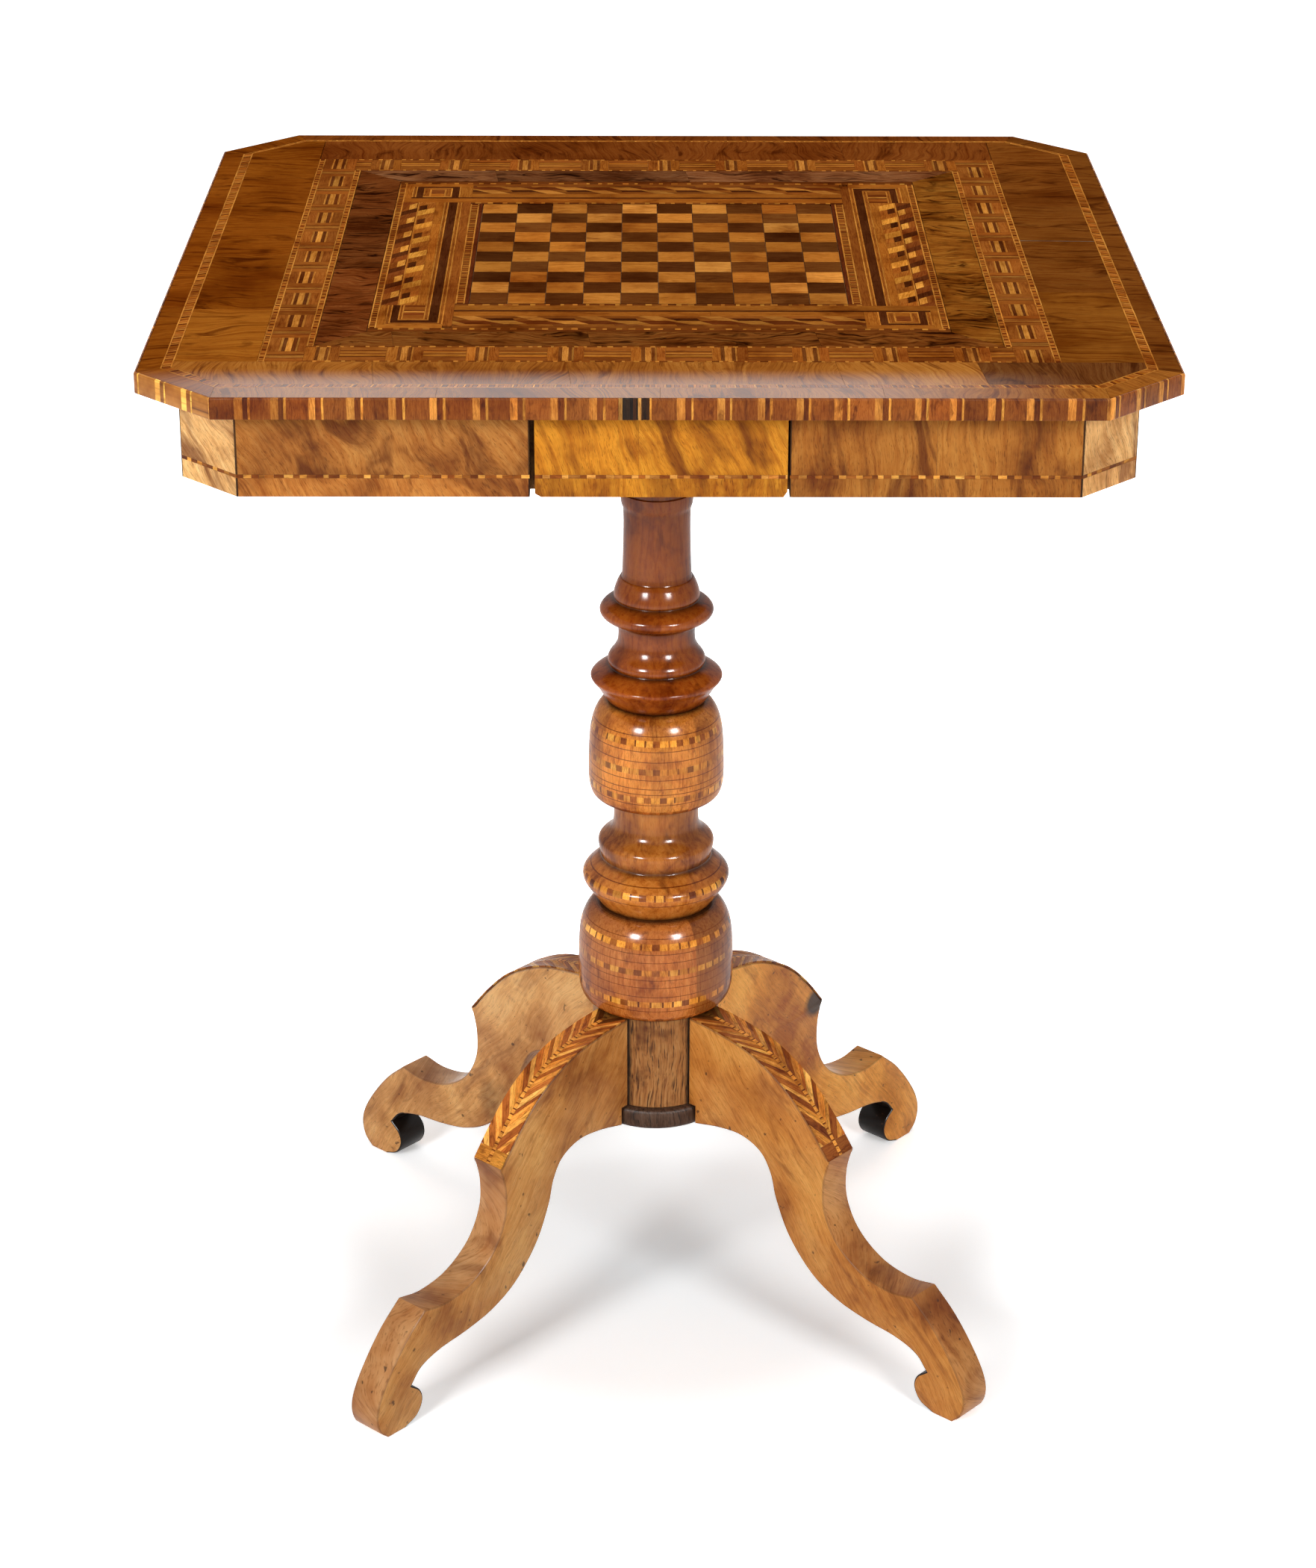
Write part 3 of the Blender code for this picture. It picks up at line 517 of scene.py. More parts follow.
# Basket band: blocks of upright bars and of level stripes by turns, ten of each on a side
basketSetup = {
    "period": 0.0466, "barLength": 0.0256, "barUneven": (0.94, 1.06), "shortest": 0.002,
    "ladderWidth": 0.0042, "line": 0.0008,
    "rungs": [("#6a3110", 0.0030), (lightWood, 0.0010), ("#94501c", 0.0021), (lightWood, 0.0008),
              ("#7c4017", 0.0026), (lightWood, 0.0011), ("#9c5a20", 0.0022)],
    "barTones": ["#884b1c", "#b07230", "#5f3012", "#b57833", "#653618", "#b07230", "#90511e"],
    "barShares": [0.235, 0.060, 0.100, 0.165, 0.090, 0.060, 0.290],
    "stripeTones": ["#8f501d", "#6b3713", "#b47732", "#6b3713", "#b47732", "#74401a", "#8f501d"],
    "stripeShares": [0.29, 0.10, 0.055, 0.08, 0.055, 0.11, 0.31],
}
# its front and back have stripes the other way, and a checkered line in the place of the ladder
basketEndSetup = {
    "period": 0.0478, "periodUneven": (0.97, 1.03), "barLength": 0.0205, "barUneven": (0.92, 1.08),
    "shortest": 0.002, "shortestStripe": 0.003,
    "dashWidth": 0.0020, "dashLengths": [0.0052, 0.0022, 0.0040, 0.0028],
    "dashTones": ["#6b3713", lightWood, "#8a4c1b", "#b8772f"],
    "barTones": ["#96561e", "#6b3a17", "#ae7030", "#6b3a17", "#a86b2c", "#8b4c1b"],
    "barShares": [0.29, 0.095, 0.18, 0.095, 0.055, 0.285],
    "stripeTones": ["#874b1c", "#5e3013", "#9c5d1e", "#ac6e2c", "#7d4519", "#ac6e2c", "#96561e", "#5e3013",
                    "#8d501d"],
    "stripeShares": [0.24, 0.05, 0.10, 0.05, 0.10, 0.05, 0.10, 0.05, 0.26],
}


def basketSide(setup):
    # along U, from its outer edge v = 0 inwards: a ladder at each edge, bars and stripes by turns between
    half, inner, edge = topSizes["basketOuter"], topSizes["basketInner"], setup["ladderWidth"]
    width = half - inner
    tiles = ladder(-half, half, 0.0, edge, setup["line"], setup["rungs"])
    tiles += ladder(-inner, inner, width - edge, width, setup["line"], setup["rungs"])
    free = width - 2 * edge
    place = -half
    while place < half - setup["shortest"]:
        barEnd = min(place + setup["barLength"] * chance.uniform(*setup["barUneven"]), half)
        shares = unevenShares(setup["barShares"])
        order = -1 if chance.permutation([0, 1])[0] else 1
        tiles += bars(place, edge, shares[::order] / shares.sum() * free, barEnd - place, False,
                      setup["barTones"][::order])
        stripeEnd = min(place + setup["period"], half)
        if stripeEnd - barEnd > setup["shortest"]:
            shares = unevenShares(setup["stripeShares"])
            tiles += bars(barEnd, edge, shares / shares.sum() * (stripeEnd - barEnd), free, True,
                          setup["stripeTones"])
        place += setup["period"]
    return tiles


def basketEnd(setup):
    # the band along the front and back, between the two sides
    # it reaches over the sides' inner ladders, which stop short of the corners
    reach = topSizes["basketInner"] + basketSetup["ladderWidth"]
    width, edge = topSizes["basketOuter"] - topSizes["basketInner"], setup["dashWidth"]
    dash = setup["dashLengths"], setup["dashTones"]
    tiles = dashes(-reach, reach, 0.0, edge, *dash) + dashes(-reach, reach, width - edge, width, *dash)
    free = width - 2 * edge
    place = -reach
    while place < reach - setup["shortest"]:
        barEnd = min(place + setup["barLength"] * chance.uniform(*setup["barUneven"]), reach)
        shares = unevenShares(setup["barShares"])
        tiles += bars(place, edge, shares / shares.sum() * (barEnd - place), free, True, setup["barTones"])
        stripeEnd = min(place + setup["period"] * chance.uniform(*setup["periodUneven"]), reach)
        if stripeEnd - barEnd > setup["shortestStripe"]:
            shares = unevenShares(setup["stripeShares"])
            tiles += bars(barEnd, edge, shares / shares.sum() * free, stripeEnd - barEnd, False,
                          setup["stripeTones"])
        place = max(stripeEnd, barEnd)
    return tiles


def turnedSheet(distance, quarter):
    # lays a side's tiles, v = 0 on a line that far from the middle and v growing inwards
    def place(u, v, h):
        return turnedRound(u, v - distance, h, quarter * pi / 2)
    return place


print("laying the basket band")
for sideName, quarter, tiles in (("Front", 0, basketEnd(basketEndSetup)), ("Right", 1, basketSide(basketSetup)),
                                 ("Back", 2, basketEnd(basketEndSetup)), ("Left", 3, basketSide(basketSetup))):
    band = layTiles("basketBand" + sideName, tiles, turnedSheet(topSizes["basketOuter"], quarter),
                    topSizes["underVeneer"], topSizes["level"], waxedMarquetry, rows=4)
    settle(band, "table", "basket_marquetry", "basket_band")


# Borders: walnut leaves laid across their length, with a ladder along the sides and front
borderSetup = {
    "edgeIn": 0.0015, "ladderIn": {"front": 0.0200, "side": 0.0143, "back": 0.0150, "corner": 0.0150},
    "ladderWidth": 0.0066, "backWidth": 0.0034, "line": 0.0009, "rungUneven": (0.7, 1.35), "rungSpread": 0.14,
    "rungs": [("#8a4a1a", 0.0026), ("#b06c2c", 0.0017), ("#9c5a22", 0.0030), ("#c08037", 0.0012),
              ("#6a3311", 0.0024), ("#a8641f", 0.0019)],
    "tones": {"left": "#834610", "right": "#754317", "front": "#9a5f26", "back": "#753d15"},
    "basketGap": 0.00005, "backGap": 0.0003, "joint": 0.00008,
    # where one leaf ends and the next begins: along Y on the sides, along X on the front and back
    "cuts": {"left": [-0.3, -0.128, -0.010, 0.087, 0.180, 0.3],
             "right": [-0.3, -0.090, 0.0262, 0.110, 0.205, 0.3],
             "front": [-0.3, -0.185, -0.0725, 0.083, 0.165, 0.3], "back": [-0.3, -0.120, 0.020, 0.150, 0.3]},
    "sideLean": 0.03, "sideShift": 0.008, "frontLean": 0.08,      # the joints slant by these slopes
    "sideSpread": 0.07, "sideWander": 0.06, "frontSpread": 0.06, "frontWander": 0.10,     # of tone, of grain
    # the side leaves nearest the front are paler and greyer, partly faded and partly a painted sheen, and the
    # last one along the front is darker
    "worn": {"left": (1.20, 1.45, 1.85), "right": (1.22, 1.32, 1.10)}, "lastFrontLeaf": (0.44, 0.42, 0.62),
    "crackAt": 0.0262, "crackHalf": 0.0006, "crackTone": "#6e675e", "crackSpread": 0.02,
    "edgeSpread": 0.05, "lastRung": 0.998,      # the last rung ends by this share of its side
}
outwardSides = [(sin(k * pi / 4), -cos(k * pi / 4)) for k in range(8)]   # front, front right, right and so on


def loopCorners(insets):
    # corners of the eight-sided loop that stays each side's own distance in from the edge of the top
    flat, slant = topSizes["half"], (2 * topSizes["half"] - topSizes["cornerCut"]) / sqrt(2)
    reach = [(slant if k % 2 else flat) - insets[k] for k in range(8)]
    corners = []
    for k in range(8):
        lines = np.array([outwardSides[k - 1], outwardSides[k]])
        corners.append(np.linalg.solve(lines, [reach[k - 1], reach[k]]))
    return np.array(corners)     # corner k starts side k


def borderInsets(extra=0.0):
    # how far in from the edge the ladder stands on each of the eight sides
    sides = ("front", "corner", "side", "corner", "back", "corner", "side", "corner")
    return [borderSetup["ladderIn"][side] + extra for side in sides]


def between(loopA, loopB, side, f0, f1):
    # the part of a side between two loops, from share f0 to share f1 of its length
    a0, a1 = loopA[side], loopA[(side + 1) % 8]
    b0, b1 = loopB[side], loopB[(side + 1) % 8]
    return [a0 + (a1 - a0) * f0, a0 + (a1 - a0) * f1, b0 + (b1 - b0) * f1, b0 + (b1 - b0) * f0]


def stripCut(field, direction, low, high):
    # what is left of a convex polygon between two parallel lines across a direction
    return clipped(clipped(field, direction, high), (-direction[0], -direction[1]), -low)


def borderTiles():
    # each side's field and ladder lie between loops round the top; slanting lines cut the field into leaves
    s = borderSetup
    edgeLoop = loopCorners([s["edgeIn"]] * 8)
    narrow = (3, 4, 5)      # along the back the ladder is one thin line
    insets = borderInsets()
    outer = loopCorners(insets)
    widths = [s["backWidth"] if k in narrow else s["ladderWidth"] for k in range(8)]
    inner = loopCorners([inset + width for inset, width in zip(insets, widths)])
    lineOuter = loopCorners([inset + s["line"] for inset in insets])
    lineInner = loopCorners([inset + width - s["line"] for inset, width in zip(insets, widths)])
    tones = s["tones"]
    sideTone = [tones[key] for key in ("front", "front", "right", "right", "back", "left", "left", "left")]
    strings, fields = [], []
    for side in range(8):
        cuts = np.linspace(0, 1, 5 if side % 2 == 0 else 2)
        grainAngle = np.arctan2(outwardSides[side][1], outwardSides[side][0])
        for f0, f1 in zip(cuts, cuts[1:]):
            leaf = between(edgeLoop, outer, side, f0, f1)
            fields.append((leaf, toned(sideTone[side], s["edgeSpread"]), grainAngle))
            for loopA, loopB in ((outer, lineOuter), (lineInner, inner)):
                strings.append((between(loopA, loopB, side, f0, f1), toned(lightWood), grainAngle + pi / 2))
        length = np.linalg.norm(outer[(side + 1) % 8] - outer[side])
        share, step = 0.0, 0
        while share < s["lastRung"]:
            hexColour, size = s["rungs"][step % len(s["rungs"])]
            end = min(share + size * chance.uniform(*s["rungUneven"]) / length, 1.0)
            tone = toned(hexColour, s["rungSpread"])
            strings.append((between(lineOuter, lineInner, side, share, end), tone, grainAngle))
            share, step = end, step + 1
    # the field inside the ladder: the front leaves run the full width, the back ones fit between the sides
    basket = topSizes["basketOuter"] + s["basketGap"]
    for sign, key in ((-1, "left"), (1, "right")):
        cutList = s["cuts"][key]
        across, shift = (s["sideLean"] * sign, 1), s["sideShift"]
        field = clipped(clipped(inner, (-sign, 0), -basket), (0, -1), basket)
        for low, high in zip(cutList, cutList[1:]):
            below, above = ((s["crackHalf"] if cut == s["crackAt"] else 0.0) for cut in (low, high))
            leaf = stripCut(field, across, low + shift + below, high + shift - above)
            if len(leaf) > 2:
                # the side leaves nearest the front are made paler, partly faded and partly a painted sheen
                worn = s["worn"][key] if low == cutList[0] else 1.0      # the two leaves nearest the front
                tone = toned(tones[key], s["sideSpread"]) * worn
                fields.append((leaf, tone, chance.normal(0, s["sideWander"])))
            if above:      # a shrinkage crack across the right side, filled with old wax
                crack = stripCut(field, across, high + shift - above, high + shift + above)
                fields.append((crack, toned(s["crackTone"], s["crackSpread"]), 0.0))
    for sign, key in ((-1, "front"), (1, "back")):
        cutList = s["cuts"][key]
        shades = [1.0] * (len(cutList) - 2) + [s["lastFrontLeaf"] if key == "front" else 1.0]
        field = clipped(inner, (0, -sign), -basket)
        if key == "back":
            field = stripCut(field, (1, 0), s["backGap"] - basket, basket - s["backGap"])
        for low, high, shade in zip(cutList, cutList[1:], shades):
            leaf = stripCut(field, (1, s["frontLean"]), low, high)
            if len(leaf) > 2:
                tone = toned(tones[key], s["frontSpread"]) * shade
                fields.append((leaf, tone, pi / 2 + chance.normal(0, s["frontWander"])))
    return strings, fields


print("laying the borders")
strings, fields = borderTiles()
layOnTop("borderStringing", strings, waxedMarquetry, "basket_marquetry")
layOnTop("borderVeneers", fields, crossbandedWalnut, "walnut_veneer", "border_veneer_left",
         "border_veneer_right", "border_veneer_front", "border_veneer_back", joint=borderSetup["joint"])


# Burr frame: four mitred sides, each of a few leaves; the numbers are where its leaves end, along the side
burrSetup = {
    "front": ("#77451a", [-0.3, -0.176, -0.060, 0.075, 0.3]),
    "right": ("#8e561b", [-0.3, -0.075, 0.0285, 0.110, 0.3]),
    "back": ("#7a4c2c", [-0.3, -0.040, 0.090, 0.3]), "left": ("#6b3917", [-0.3, -0.105, 0.020, 0.118, 0.3]),
    "lean": 0.10, "spread": 0.12, "wander": 0.12, "joint": 0.00008,
}


def burrTiles(setup):
    # each side is a mitred trapezoid cut into leaves by slanting lines, then turned into its place
    outer, inner = topSizes["burrOuter"], topSizes["burrInner"]
    trapezoid = [(-outer, -outer), (outer, -outer), (inner, -inner), (-inner, -inner)]
    tiles = []
    for quarter, key in enumerate(("front", "right", "back", "left")):
        hexColour, cuts = setup[key]
        grain = 0.0 if quarter % 2 == 0 else pi / 2
        side = []
        for low, high in zip(cuts, cuts[1:]):
            leaf = stripCut(trapezoid, (1, setup["lean"]), low, high)
            if len(leaf) > 2:
                tone = toned(hexColour, setup["spread"])
                side.append((leaf, tone, grain + chance.normal(0, setup["wander"])))
        tiles += turnedTiles(side, quarter)
    return tiles


layOnTop("burrFrame", burrTiles(burrSetup), burrWalnut, "burr_walnut", "burr_frame", joint=burrSetup["joint"])


# Game frame: one half is laid, then turned round for the other
gameSetup = {
    # in millimetres, from the outer edge in
    "columnWidths": {"ladder": 5.1, "blocksOuter": 10.5, "divider": 1.0, "blocksInner": 11.3, "honey": 5.8,
                     "doubleOuter": 3.4, "dark": 5.9, "doubleInner": 3.4, "brown": 5.9, "ladderInner": 6.1,
                     "red": 2.5},
    "rowWidths": {"brown": 3.8, "dashOuter": 3.3, "strip": 4.6, "ribbon": 21.3, "honeyOuter": 9.8,
                  "darkLine": 3.0, "honeyInner": 10.5, "dashInner": 3.0, "gap": 0.9},
    # the rest is in metres
    "rungs": [("#5f2c0f", 0.0025), ("#b8792f", 0.0009), ("#8a4c1b", 0.0018), ("#6d3512", 0.0022),
              ("#b06c2a", 0.0010)],
    "line": 0.00095, "leftMargin": 0.0044, "bottomMargin": 0.0072, "leftDark": 0.0042,
    "dashLengths": [0.0062, 0.0030, 0.0050, 0.0034], "dashTones": ["#6b3713", "#b8792f", "#84481a", "#b06c2a"],
    "honey": "#9a591e", "brown": "#83481a", "dark": "#4c250f", "light": "#b4722d", "red": "#592812",
    "outerBrown": "#6b3713",
    "periods": 7, "blocksOuterLean": 0.30, "blocksInnerLean": 0.26,      # leans are shares of a period
    "columnCuts": [-0.021, 0.0655], "honeyCut": 0.031, "brownCut": -0.05,      # where long strips are pieced
    "ribbonPeriod": 0.0369, "ribbonRows": [0.0, 0.46, 0.82, 1.0], "ribbonLeans": (0.30, 0.22, 0.15),
    "rowShade": 0.87, "slantGrain": 0.12,
    # the framed blocks in the two corners: strips as shares of the height, the frame's bands as widths
    "leftBlock": [(0.26, "#8f501d"), (0.20, "#6b3513"), (0.10, "#bb7a32"), (0.08, "#5a2b10"), (0.22, "#8f501d"),
                  (0.14, "#63300f")],
    "rightBlock": [(0.6, "#7b3f19"), (0.4, "#9c5a1e")], "rightFrame": (0.0030, 0.0026, "#8f501d"),
    "rightLine": 0.0014, "rightUpright": 0.0043, "rightSill": 0.0035, "rightLintel": 0.0023,
    "rightStrips": (0.0080, 0.0090, 0.0136),
}


def edgesOf(widths, start, end):
    # where each named strip begins and ends, with the widths fitted between start and end
    reach = np.concatenate([[0], np.cumsum(list(widths.values()))])
    edges = start + (end - start) * reach / reach[-1]
    return {name: (edges[k], edges[k + 1]) for k, name in enumerate(widths)}


def swapped(tiles):
    # the same tiles with their two directions exchanged
    return [(np.asarray(corners)[:, ::-1], tone, pi / 2 - angle) for corners, tone, angle in tiles]


def slantedPieces(u0, u1, v0, v1, period, pieces, lean):
    # pieces given as shares of the period and of the width; every cut across leans by a share of the period
    tiles = []
    width = v1 - v0
    for k in range(-1, int(round((u1 - u0) / period)) + 1):
        for start0, start1, end0, end1, low, high, hexColour in pieces:
            place = u0 + k * period
            near, far = place + lean * low * period, place + lean * high * period
            corners = [(near + start0 * period, v0 + low * width), (near + end0 * period, v0 + low * width),
                       (far + end1 * period, v0 + high * width), (far + start1 * period, v0 + high * width)]
            corners = clipped(clipped(corners, (1, 0), u1), (-1, 0), -u0)
            if len(corners) > 2 and np.ptp(corners[:, 0]) > cutting["sliver"]:
                tiles.append((corners, toned(hexColour, cutting["slantSpread"]), gameSetup["slantGrain"]))
    return tiles


# shares: start and end of the lower side, then of the upper side, low and high across, and the tone
blocksOuter = [(0.00, 0.00, 0.29, 0.29, 0.00, 1.00, "#532810"), (0.29, 0.29, 0.68, 0.68, 0.00, 0.46, "#8a4a1b"),
               (0.29, 0.29, 0.66, 0.66, 0.46, 0.95, "#c98a3b"), (0.66, 0.66, 0.68, 0.68, 0.46, 0.95, "#8a4a1b"),
               (0.29, 0.29, 0.68, 0.68, 0.95, 1.00, "#6d3614"), (0.68, 0.68, 1.00, 1.00, 0.00, 1.00, "#7b3f19")]
blocksInner = [(0.00, 0.00, 0.36, 0.36, 0.00, 1.00, "#c98735"), (0.36, 0.36, 0.70, 0.64, 0.06, 0.50, "#4a230d"),
               (0.36, 0.36, 0.70, 0.70, 0.00, 0.06, "#8a4a1b"), (0.36, 0.36, 0.70, 0.70, 0.50, 1.00, "#96551f"),
               (0.70, 0.70, 1.00, 1.00, 0.00, 1.00, "#98571f")]
ribbonUpper = [(0.00, 0.00, 0.34, 0.34, 0.00, 1.00, "#ae702f"), (0.34, 0.34, 1.00, 1.00, 0.00, 0.50, "#82481a"),
               (0.34, 0.34, 0.82, 0.72, 0.50, 1.00, "#4a230d"), (0.82, 0.72, 1.00, 1.00, 0.50, 1.00, "#8c511d")]
ribbonMiddle = [(0.00, 0.00, 0.50, 0.62, 0.00, 1.00, "#693212"), (0.50, 0.62, 1.00, 1.00, 0.00, 1.00, "#aa6d2c")]
ribbonLower = [(0.00, 0.00, 0.62, 0.50, 0.00, 1.00, "#91551f"), (0.62, 0.50, 1.00, 1.00, 0.00, 1.00, "#74401a")]


def mitredBands(box, insets, top):
    # bands open at the top: down the left, along the bottom and up the right, mitred at both corners
    left, right, bottom = box
    tiles = []
    for insetLeft, insetBottom, insetRight, hexColour in insets:
        nextLeft, nextBottom, nextRight = left + insetLeft, bottom + insetBottom, right - insetRight
        leftEnds, rightEnds = [(nextLeft, nextBottom), (left, bottom)], [(nextRight, nextBottom), (right, bottom)]
        tiles += [([(left, top), (nextLeft, top), *leftEnds], toned(hexColour), pi / 2),
                  ([*leftEnds[::-1], *rightEnds], toned(hexColour), 0.0),
                  ([(right, top), (nextRight, top), *rightEnds], toned(hexColour), pi / 2)]
        left, right, bottom = nextLeft, nextRight, nextBottom
    return tiles, (left, right, bottom)


def stack(x0, x1, y0, layers):
    # level strips one above the other, from y0 up; a layer is its height and tone
    tiles = []
    for height, hexColour in layers:
        tiles.append(slip(x0, x1, y0, y0 + height, hexColour))
        y0 += height
    return tiles


def gameColumns(s, column, row):
    # the left side, from the outer ladder in to the board: upright strips between the edges of each column
    inner, line = topSizes["gameInner"], s["line"]
    field = row["honeyInner"][1]       # the columns of blocks stop here
    strip = row["strip"][0]
    tiles = swapped(ladder(-strip, strip, -column["ladder"][0], -column["ladder"][1], line, s["rungs"]))
    period = 2 * field / s["periods"]
    for name, pieces, lean in (("blocksOuter", blocksOuter, s["blocksOuterLean"]),
                               ("blocksInner", blocksInner, s["blocksInnerLean"])):
        a, b = column[name]
        tiles += swapped(slantedPieces(-field, field, -a, -b, period, pieces, lean))
    cuts = [-field, *s["columnCuts"], field]
    for name, hexColour in (("divider", s["light"]), ("honey", s["honey"]), ("dark", s["dark"])):
        a, b = column[name]
        for y0, y1 in zip(cuts, cuts[1:]):
            tiles.append(slip(-a, -b, y0, y1, hexColour, pi / 2))
    for name in ("doubleOuter", "doubleInner"):
        a, b = column[name]
        for x0, x1, hexColour in ((-a, -a + line, s["light"]), (-a + line, -b - line, s["brown"]),
                                  (-b - line, -b, s["light"])):
            tiles.append(slip(x0, x1, -field, field, hexColour, pi / 2))
    a, b = column["brown"]
    tiles.append(slip(-a, -b, -row["ribbon"][0], field, s["brown"], pi / 2))
    a, b = column["ladderInner"]
    tiles += swapped(ladder(-inner, inner, -a, -b, line, s["rungs"]))
    a, b = column["red"]
    tiles.append(slip(-a, -b, -inner, inner, s["red"], pi / 2))
    return tiles


def gameRows(s, column, row):
    # the front rows, from the board out: level strips; they have gone a little darker than the columns
    outer = topSizes["gameOuter"]
    reach, crossing = column["ladderInner"][0], column["ladder"][1]
    tiles = [slip(-reach, reach, -row["gap"][0], -row["gap"][1], s["dark"])]
    a, b = row["dashInner"]
    tiles += dashes(-reach, reach, -a, -b, s["dashLengths"], s["dashTones"])
    a, b = row["honeyInner"]
    tiles += stack(-reach, crossing, -a, [(a - b, s["honey"])])
    a, b = row["darkLine"]
    tiles.append(slip(-reach, crossing - s["leftMargin"], -a, -b, s["dark"]))
    a, b = row["honeyOuter"]
    for x0, x1 in ((-reach, s["honeyCut"]), (s["honeyCut"], reach)):
        tiles.append(slip(x0, x1, -a, -b, s["honey"], 0.0, 0.05))
    a, b = row["ribbon"]
    cuts = -b - (a - b) * np.array(s["ribbonRows"])
    ribbons = (ribbonUpper, ribbonMiddle, ribbonLower)
    for top, bottom, pieces, lean in zip(cuts, cuts[1:], ribbons, s["ribbonLeans"]):
        tiles += slantedPieces(-reach, reach, top, bottom, s["ribbonPeriod"], pieces, lean)
    a, b = row["strip"]
    tiles.append(slip(-reach, reach, -a, -b, s["brown"]))
    a, b = row["dashOuter"]
    tiles += dashes(-outer, outer, -a, -b, s["dashLengths"], s["dashTones"])
    a, b = row["brown"]
    for x0, x1 in ((-outer, s["brownCut"]), (s["brownCut"], outer)):
        tiles.append(slip(x0, x1, -a, -b, s["outerBrown"]))
    return [(corners, tone * s["rowShade"], angle) for corners, tone, angle in tiles]


def gameLeftCorner(s, column, row):
    # the bands come down, turn along the front with a mitre and stop under the columns
    line, field = s["line"], row["honeyInner"][1]
    floor, side = -row["strip"][0], -column["ladder"][1]
    left, bottom, right = side + s["leftMargin"], floor + s["bottomMargin"], -column["doubleInner"][1]
    middle = column["doubleInner"][0] - column["doubleInner"][1] - 2 * line
    darkWidth = column["dark"][0] - column["dark"][1]
    lightBand = (line, line, line, s["light"])
    darkBand = (s["leftDark"], darkWidth, darkWidth, s["dark"])
    insets = [lightBand, (middle, middle, middle, s["brown"]), lightBand, darkBand, lightBand,
              (line, line, middle, s["brown"]), lightBand]
    tiles, (left2, right2, bottom2) = mitredBands((left, right, bottom), insets, -field)
    tiles.append(slip(side, left, bottom, -field, s["honey"], pi / 2))
    tiles += stack(side, -column["brown"][0], floor, [(s["bottomMargin"], s["honey"])])
    height = -field - bottom2
    return tiles + stack(left2, right2, bottom2, [(height * share, tone) for share, tone in s["leftBlock"]])


def gameRightCorner(s, column, row):
    # the rows run across it, with a framed block below them
    line, reach, crossing = s["line"], column["ladderInner"][0], column["ladder"][1]
    middle = column["doubleInner"][0] - column["doubleInner"][1] - 2 * line
    floor, top, right = -row["strip"][0], -row["darkLine"][0], crossing - s["leftMargin"]
    tiles = [slip(right, crossing, floor, -row["darkLine"][1], s["honey"], pi / 2)]
    tiles += stack(reach, right, floor, [(s["bottomMargin"], s["honey"])])
    y0 = floor + s["bottomMargin"]
    x = right
    for width, hexColour in ((line, s["light"]), (middle, s["brown"]), (line, s["light"]),
                             (s["rightUpright"], s["dark"])):
        tiles.append(slip(x - width, x, y0, top, hexColour, pi / 2))
        x -= width
    honeyEnd, lightEnd, darkEnd = (reach + width for width in s["rightStrips"])
    wide, low, brown = s["rightFrame"]
    insets = [(line, line, line, s["light"]), (wide, low, wide, brown),
              (s["rightLine"], line, s["rightLine"], s["light"])]
    lintel = top - s["rightLintel"]
    bands, (in0, in1, inBottom) = mitredBands((darkEnd, x, y0 + s["rightSill"]), insets, lintel)
    tiles += bands + stack(darkEnd, x, y0, [(s["rightSill"], s["dark"])])
    tiles += stack(darkEnd, x, lintel, [(s["rightLintel"], s["light"])])
    tiles += stack(in0, in1, inBottom, [((lintel - inBottom) * share, tone) for share, tone in s["rightBlock"]])
    for x0, x1, hexColour in ((reach, honeyEnd, s["honey"]), (honeyEnd, lightEnd, s["light"]),
                              (lightEnd, darkEnd, s["dark"])):
        tiles.append(slip(x0, x1, y0, top, hexColour, pi / 2))
    return tiles


def gameHalf(setup):
    # the left side, the front rows and both front corners
    outer, inner = topSizes["gameOuter"], topSizes["gameInner"]
    column, row = edgesOf(setup["columnWidths"], outer, inner), edgesOf(setup["rowWidths"], outer, inner)
    return (gameColumns(setup, column, row) + gameRows(setup, column, row) + gameLeftCorner(setup, column, row)
            + gameRightCorner(setup, column, row))


print("laying the game frame and the board")
firstHalf, secondHalf = gameHalf(gameSetup), turnedTiles(gameHalf(gameSetup), 2)
layOnTop("gameFrame", firstHalf + secondHalf, waxedMarquetry, "game_marquetry", "game_frame")

# Board: ten squares by ten, the light ones maple, the dark ones walnut, in open grey joints
boardSetup = {
    "squares": 10, "joint": 0.00022, "unevenness": 0.00012, "spread": 0.10, "wander": 0.04,
    "light": ["#aa6928", "#a26224", "#b2712e", "#995a20", "#ba7a36"],
    "dark": ["#5a3112", "#512a0f", "#623615", "#4a260e", "#6c3e19"],
}


def boardTiles(setup):
    # squares by row and column, light where row and column make an odd sum
    count, size = setup["squares"], 2 * topSizes["board"] / setup["squares"]
    tiles = []
    for row in range(count):
        for column in range(count):
            u, v = -topSizes["board"] + column * size, -topSizes["board"] + row * size
            family = setup["light"] if (row + column) % 2 else setup["dark"]
            tone = toned(family[int(chance.integers(len(family)))], setup["spread"])
            tiles.append((rectangle(u, u + size, v, v + size), tone, chance.normal(0, setup["wander"])))
    return tiles


layOnTop("boardSquares", boardTiles(boardSetup), waxedMarquetry, "chess_marquetry", "chessboard",
         joint=boardSetup["joint"], unevenness=boardSetup["unevenness"])


